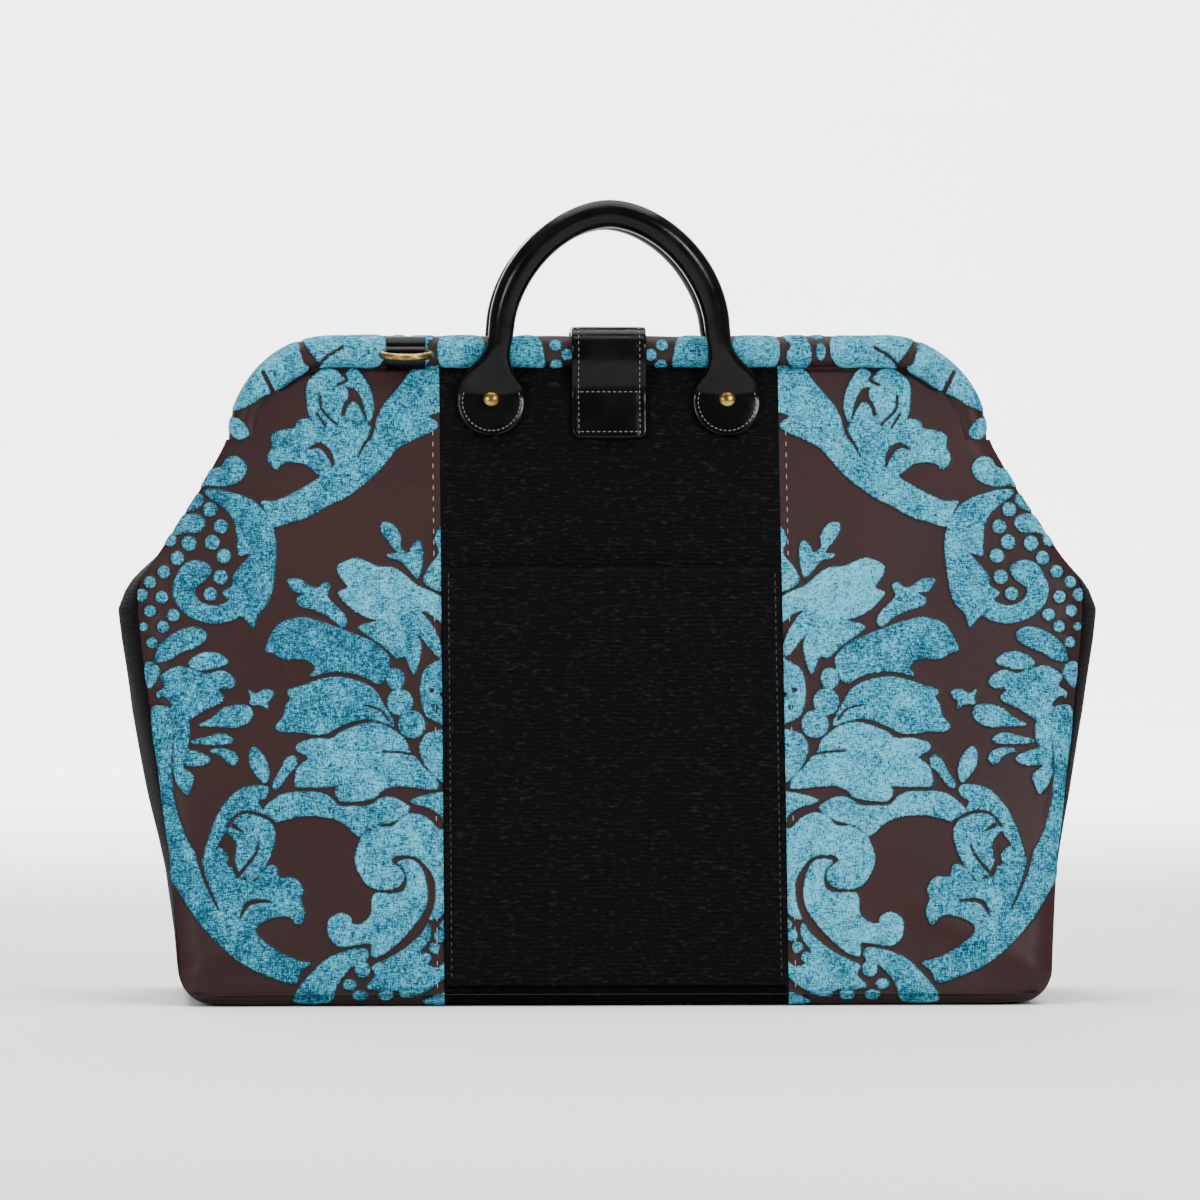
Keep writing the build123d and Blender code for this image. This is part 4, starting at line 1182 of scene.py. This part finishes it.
def makeGrain():
    # fine pebbled surface with larger soft creases
    group, into, out = newGroup(
        "hideGrain",
        [("Vector", "NodeSocketVector", None), ("Size", "NodeSocketFloat", 0.8)],
        [("Height", "NodeSocketFloat"), ("Patches", "NodeSocketFloat")],
    )
    scaled = inMillimetres(group, into)
    scale = math2(group, "DIVIDE", 1.0, into.outputs["Size"])
    cells = add(group, "ShaderNodeTexVoronoi", {"Vector": scaled.outputs[0], "Scale": scale}, feature="SMOOTH_F1")
    soft = add(group, "ShaderNodeTexNoise", {"Vector": scaled.outputs[0], "Scale": 0.22, "Detail": 3.0})
    sumUp = math2(group, "ADD", math2(group, "MULTIPLY", cells.outputs["Distance"], 0.35), soft.outputs["Fac"])
    group.links.new(sumUp, out.inputs["Height"])
    patches = add(group, "ShaderNodeTexNoise", {"Vector": scaled.outputs[0], "Scale": 0.06, "Detail": 2.0})
    group.links.new(patches.outputs["Fac"], out.inputs["Patches"])
    return group


grainGroup = makeGrain()


def makeAge():
    # brushed lines and dull spots on metal
    group, into, out = newGroup(
        "metalAge",
        [("Vector", "NodeSocketVector", None), ("Spot", "NodeSocketFloat", 3.0)],
        [("Spots", "NodeSocketFloat"), ("Scratches", "NodeSocketFloat")],
    )
    scaled = inMillimetres(group, into)
    scale = math2(group, "DIVIDE", 1.0, into.outputs["Spot"])
    spots = add(group, "ShaderNodeTexNoise",
                {"Vector": scaled.outputs[0], "Scale": scale, "Detail": 4.0, "Roughness": 0.65})
    group.links.new(spots.outputs["Fac"], out.inputs["Spots"])
    lines = noise(group, into.outputs["Vector"], 1.0, (6, 0.25, 0.25), 3.0, 0.7)
    group.links.new(lines, out.inputs["Scratches"])
    return group


ageGroup = makeAge()

# edge: the colour of the painted shadow along the pile's outline
damaskLook = {
    "groundDark": shade(26, 12, 12), "groundLight": shade(54, 28, 27), "pileDark": shade(4, 58, 80),
    "pileMid": shade(44, 130, 156), "pileLight": shade(98, 188, 210), "edge": shade(7, 9, 11),
}


def makeDamask():
    material, tree, shader, where = newMaterial("damask", Roughness=0.6, Specular_IOR_Level=0.2)
    look = damaskLook
    pile = add(tree, "ShaderNodeAttribute", attribute_name="pile").outputs["Fac"]
    tone = add(tree, "ShaderNodeAttribute", attribute_name="tone").outputs["Fac"]
    weave = useGroup(tree, weaveGroup, Vector=where, Rib=1.0, Fleck=1.3)
    jag = noise(tree, where, 1.0, (1.1, 1.1, 0.9), 1.0)
    ragged = math2(tree, "ADD", pile, math2(tree, "MULTIPLY", math2(tree, "SUBTRACT", jag, 0.5), 1.0))
    mask = remap(tree, ragged, -0.16, 0.16)
    # tufts: fine bright and dark tips, with wide dark streaks
    across = noise(tree, where, 1.0, (2.4, 2.4, 0.5), 2.0, 0.65)
    upright = noise(tree, where, 1.0, (0.55, 0.55, 3.2), 2.0, 0.65)
    tips = math2(tree, "MULTIPLY", math2(tree, "ADD", across, upright), 0.5)
    streaks = noise(tree, where, 1.0, (10, 10, 15), 5.0, 0.8)
    bright = math2(tree, "ADD", math2(tree, "MULTIPLY", tone, 0.16), math2(tree, "MULTIPLY", tips, 3.0))
    bright = math2(tree, "ADD", bright, math2(tree, "MULTIPLY", streaks, 1.1))
    bright = math2(tree, "SUBTRACT", bright, 1.57)
    ramp = tree.nodes.new("ShaderNodeValToRGB")
    stops = ramp.color_ramp
    stops.elements[0].position, stops.elements[0].color = 0.18, look["pileDark"]
    stops.elements[1].position, stops.elements[1].color = 0.82, look["pileLight"]
    middle = stops.elements.new(0.46)
    middle.color = look["pileMid"]
    tree.links.new(bright, ramp.inputs[0])
    satin = noise(tree, where, 1.0, (0.8, 0.8, 0.6), 3.0, 0.65)
    # painted sheen: broad lighter and darker patches in the ground's colour
    paintedSheen = noise(tree, where, 1.0, (70, 70, 90), 2.0)
    groundShare = math2(tree, "ADD", math2(tree, "MULTIPLY", satin, 0.8), math2(tree, "MULTIPLY", paintedSheen, 0.5))
    groundShare = math2(tree, "ADD", groundShare, math2(tree, "MULTIPLY", weave.outputs["Ribs"], 0.08))
    groundShare = remap(tree, groundShare, 0.4, 1.05, kind="LINEAR")
    ground = mixColour(tree, groundShare, look["groundDark"], look["groundLight"])
    # painted shadow: the ground is darkened close to the pile's edge
    paintedEdgeShadow = remap(tree, ragged, -1.5, -0.1)
    ground = mixColour(tree, math2(tree, "MULTIPLY", paintedEdgeShadow, 0.55), ground, look["edge"])
    # painted shadow: the pile's own rim is darkened a little towards the edge colour
    rim = remap(tree, ragged, 0.75, 0.05)
    tuft = mixColour(tree, math2(tree, "MULTIPLY", rim, 0.3), ramp.outputs[0], look["edge"])
    colour = mixColour(tree, mask, ground, tuft)
    tree.links.new(colour, shader.inputs["Base Color"])
    rough = remap(tree, mask, 0, 1, 0.46, 0.85)
    tree.links.new(rough, shader.inputs["Roughness"])
    groundHeight = math2(tree, "MULTIPLY", satin, 0.35)
    pileHeight = math2(tree, "MULTIPLY", tips, 1.3)
    height = add(tree, "ShaderNodeMix", {0: mask, 2: groundHeight, 3: pileHeight}, data_type="FLOAT").outputs[0]
    bump(tree, shader, height, 0.55, 0.0007)
    return material


def makeChenille():
    material, tree, shader, where = newMaterial("chenille", Roughness=0.95, Specular_IOR_Level=0.08)
    weave = useGroup(tree, weaveGroup, Vector=where, Rib=2.1, Fleck=1.3)
    fleck = remap(tree, weave.outputs["Flecks"], 0.52, 0.78)
    base = mixColour(tree, fleck, shade(5, 5, 5), shade(34, 34, 34))
    colour = mixColour(tree, math2(tree, "MULTIPLY", weave.outputs["Ribs"], 0.3), base, shade(14, 14, 15))
    tree.links.new(colour, shader.inputs["Base Color"])
    height = math2(tree, "ADD", math2(tree, "MULTIPLY", weave.outputs["Ribs"], 0.6), weave.outputs["Flecks"])
    bump(tree, shader, height, 0.5, 0.0008)
    return material


def makeLining():
    material, tree, shader, where = newMaterial("lining_cotton", Roughness=0.85, Specular_IOR_Level=0.25)
    weave = useGroup(tree, weaveGroup, Vector=where, Rib=0.7, Fleck=0.8)
    colour = mixColour(tree, weave.outputs["Flecks"], shade(26, 25, 27), shade(50, 48, 50))
    tree.links.new(colour, shader.inputs["Base Color"])
    bump(tree, shader, weave.outputs["Ribs"], 0.3, 0.0003)
    return material


def makeLeather():
    material, tree, shader, where = newMaterial("leather", Roughness=0.2, Specular_IOR_Level=0.14)
    grain = useGroup(tree, grainGroup, Vector=where, Size=0.7)
    colour = mixColour(tree, remap(tree, grain.outputs["Patches"], 0.35, 0.7), shade(4, 4, 4), shade(10, 9, 10))
    # convex edges lightened to grey: partly the grey edge paint, partly a painted highlight
    edgePaintAndHighlight = tree.nodes.new("ShaderNodeNewGeometry").outputs["Pointiness"]
    colour = mixColour(tree, math2(tree, "MULTIPLY", remap(tree, edgePaintAndHighlight, 0.53, 0.6), 0.5), colour, shade(52, 51, 52))
    tree.links.new(colour, shader.inputs["Base Color"])
    rough = remap(tree, grain.outputs["Patches"], 0.3, 0.7, 0.13, 0.26)
    tree.links.new(rough, shader.inputs["Roughness"])
    bump(tree, shader, grain.outputs["Height"], 0.22, 0.0004)
    return material


def makeMetal(name, dark, light, roughLow, roughHigh):
    material, tree, shader, where = newMaterial(name, Metallic=1.0, Roughness=0.3)
    age = useGroup(tree, ageGroup, Vector=where, Spot=5.0)
    colour = mixColour(tree, remap(tree, age.outputs["Spots"], 0.35, 0.62), light, dark)
    tree.links.new(colour, shader.inputs["Base Color"])
    rough = math2(tree, "ADD", remap(tree, age.outputs["Spots"], 0.3, 0.7, roughLow, roughHigh),
                  math2(tree, "MULTIPLY", age.outputs["Scratches"], 0.06))
    tree.links.new(rough, shader.inputs["Roughness"])
    bump(tree, shader, age.outputs["Scratches"], 0.12, 0.0001)
    return material


def makeThread(name, dark, light):
    material, tree, shader, where = newMaterial(name, Roughness=0.55, Sheen_Weight=0.2)
    twist = noise(tree, where, 1.0, (0.35, 0.35, 0.35), 2.0)
    tree.links.new(mixColour(tree, twist, dark, light), shader.inputs["Base Color"])
    bump(tree, shader, twist, 0.4, 0.0002)
    return material


def makeBoard():
    material, tree, shader, where = newMaterial("board", Roughness=0.8)
    fibre = noise(tree, where, 1.0, (4, 1.2, 1.2), 4.0, 0.65)
    tree.links.new(mixColour(tree, fibre, shade(92, 74, 54), shade(136, 112, 84)), shader.inputs["Base Color"])
    bump(tree, shader, fibre, 0.3, 0.0004)
    return material


def makeCord():
    material, tree, shader, where = newMaterial("cord", Roughness=0.8)
    strand = useGroup(tree, weaveGroup, Vector=where, Rib=2.4, Fleck=0.8)
    colour = mixColour(tree, strand.outputs["Ribs"], shade(120, 106, 84), shade(186, 172, 146))
    tree.links.new(colour, shader.inputs["Base Color"])
    bump(tree, shader, strand.outputs["Ribs"], 0.5, 0.0006)
    return material


looks = {
    "damask": makeDamask(), "chenille": makeChenille(), "lining_cotton": makeLining(), "leather": makeLeather(),
    "brass": makeMetal("brass", shade(104, 82, 44), shade(178, 148, 84), 0.2, 0.34),
    "steel": makeMetal("steel", shade(110, 108, 106), shade(176, 174, 170), 0.2, 0.36),
    "board": makeBoard(), "cord": makeCord(),
}
paleLook = makeThread("pale_thread", shade(104, 92, 84), shade(170, 156, 144))
darkLook = makeThread("leather_thread", shade(60, 60, 62), shade(128, 128, 128))
blackLook = makeThread("black_thread", shade(8, 8, 9), shade(30, 30, 32))


def dress(piece, material):
    piece.data.materials.clear()
    piece.data.materials.append(material)


for piece in damaskPieces:
    dress(piece, looks["damask"])
for piece in chenillePieces:
    dress(piece, looks["chenille"])
for piece in liningPieces:
    dress(piece, looks["lining_cotton"])
for piece in leatherPieces:
    dress(piece, looks["leather"])
for piece in rivetPieces:
    dress(piece, looks["brass"])
for piece in paleThread:
    dress(piece, paleLook)
for piece in darkThread:
    dress(piece, darkLook)
for piece in blackThread:
    dress(piece, blackLook)

keptNodes = {
    "brass": ["front_ring", "back_ring"],
    "steel": ["front_frame_strip", "back_frame_strip", "left_hinge_plate", "right_hinge_plate", "hinge_rivets",
              "front_tab_washers", "back_tab_washers", "snap_plate", "snap_magnet"],
    "board": ["base_board"],
    "cord": ["front_handle_core", "back_handle_core"],
}
for look, names in keptNodes.items():
    for name in names:
        for slot in nodes[name].material_slots:
            slot.material = looks[look]
print("materials set")


# floor, lights and camera
view = {"yaw": 2.6, "height": 0.25, "distance": 5.0, "aim": (-0.0035, 0, 0.1891), "lens": 313.0}
clearSelection()
bpy.ops.mesh.primitive_plane_add(size=14, location=(0, 0, -0.0006))
floor = bpy.context.object
floor.name = "floor"
bpy.ops.object.mode_set(mode="EDIT")
bpy.ops.mesh.select_all(action="DESELECT")
bpy.ops.object.mode_set(mode="OBJECT")
for edge in floor.data.edges:
    edge.select = all(floor.data.vertices[i].co.y > 6.9 for i in edge.vertices)
bpy.ops.object.mode_set(mode="EDIT")
bpy.ops.mesh.select_mode(type="EDGE")
bpy.ops.mesh.extrude_region_move(TRANSFORM_OT_translate={"value": (0, 0, 5)})
bpy.ops.mesh.select_all(action="SELECT")
bpy.ops.mesh.bevel(offset=2.2, segments=12)
bpy.ops.object.mode_set(mode="OBJECT")
bpy.ops.object.transform_apply(location=True, rotation=True, scale=True)
paper, tree, shader, where = newMaterial("paper", Roughness=0.9, Specular_IOR_Level=0.1)
paperTone = mixColour(tree, noise(tree, where, 1.0, (400, 400, 400)), shade(243, 243, 243), shade(246, 246, 246))
tree.links.new(paperTone, shader.inputs["Base Color"])
floor.data.materials.append(paper)


def areaLight(name, place, aim, size, power):
    clearSelection()
    bpy.ops.object.light_add(type="AREA", location=place)
    lamp = bpy.context.object
    lamp.name = name
    lamp.data.size = size
    lamp.data.energy = power
    direction = np.array(aim) - np.array(place)
    lamp.rotation_euler = (math.acos(-direction[2] / np.linalg.norm(direction)), 0,
                           math.atan2(direction[1], direction[0]) - math.pi / 2)
    return lamp


areaLight("key_light", (1.1, -1.7, 1.2), (0, 0, 0.15), 0.5, 27)
areaLight("fill_light", (-1.4, -1.6, 0.9), (0, 0, 0.15), 0.5, 17)
areaLight("top_light", (0, 0.2, 3.0), (0, 0, 0.1), 3.0, 155)
areaLight("back_light", (-0.6, 2.0, 1.3), (0, 0, 0.15), 0.7, 24)
areaLight("backdrop_light", (0, 3.2, 3.4), (0, 7, 1.0), 3.5, 850)
world = bpy.data.worlds.new("studio")
bpy.context.scene.world = world
world.use_nodes = True
world.node_tree.nodes["Background"].inputs[0].default_value = (1, 1, 1, 1)
world.node_tree.nodes["Background"].inputs[1].default_value = 0.36

yaw = math.radians(view["yaw"])
clearSelection()
place = (view["aim"][0] - math.sin(yaw) * view["distance"], -math.cos(yaw) * view["distance"], view["height"])
tilt = math.atan2(view["height"] - view["aim"][2], view["distance"])
bpy.ops.object.camera_add(location=place, rotation=(math.pi / 2 - tilt, 0, -yaw))
camera = bpy.context.object
camera.name = "main_camera"
camera.data.lens = view["lens"]
camera.data.sensor_width = 36
bpy.context.scene.camera = camera
print("stage ready")
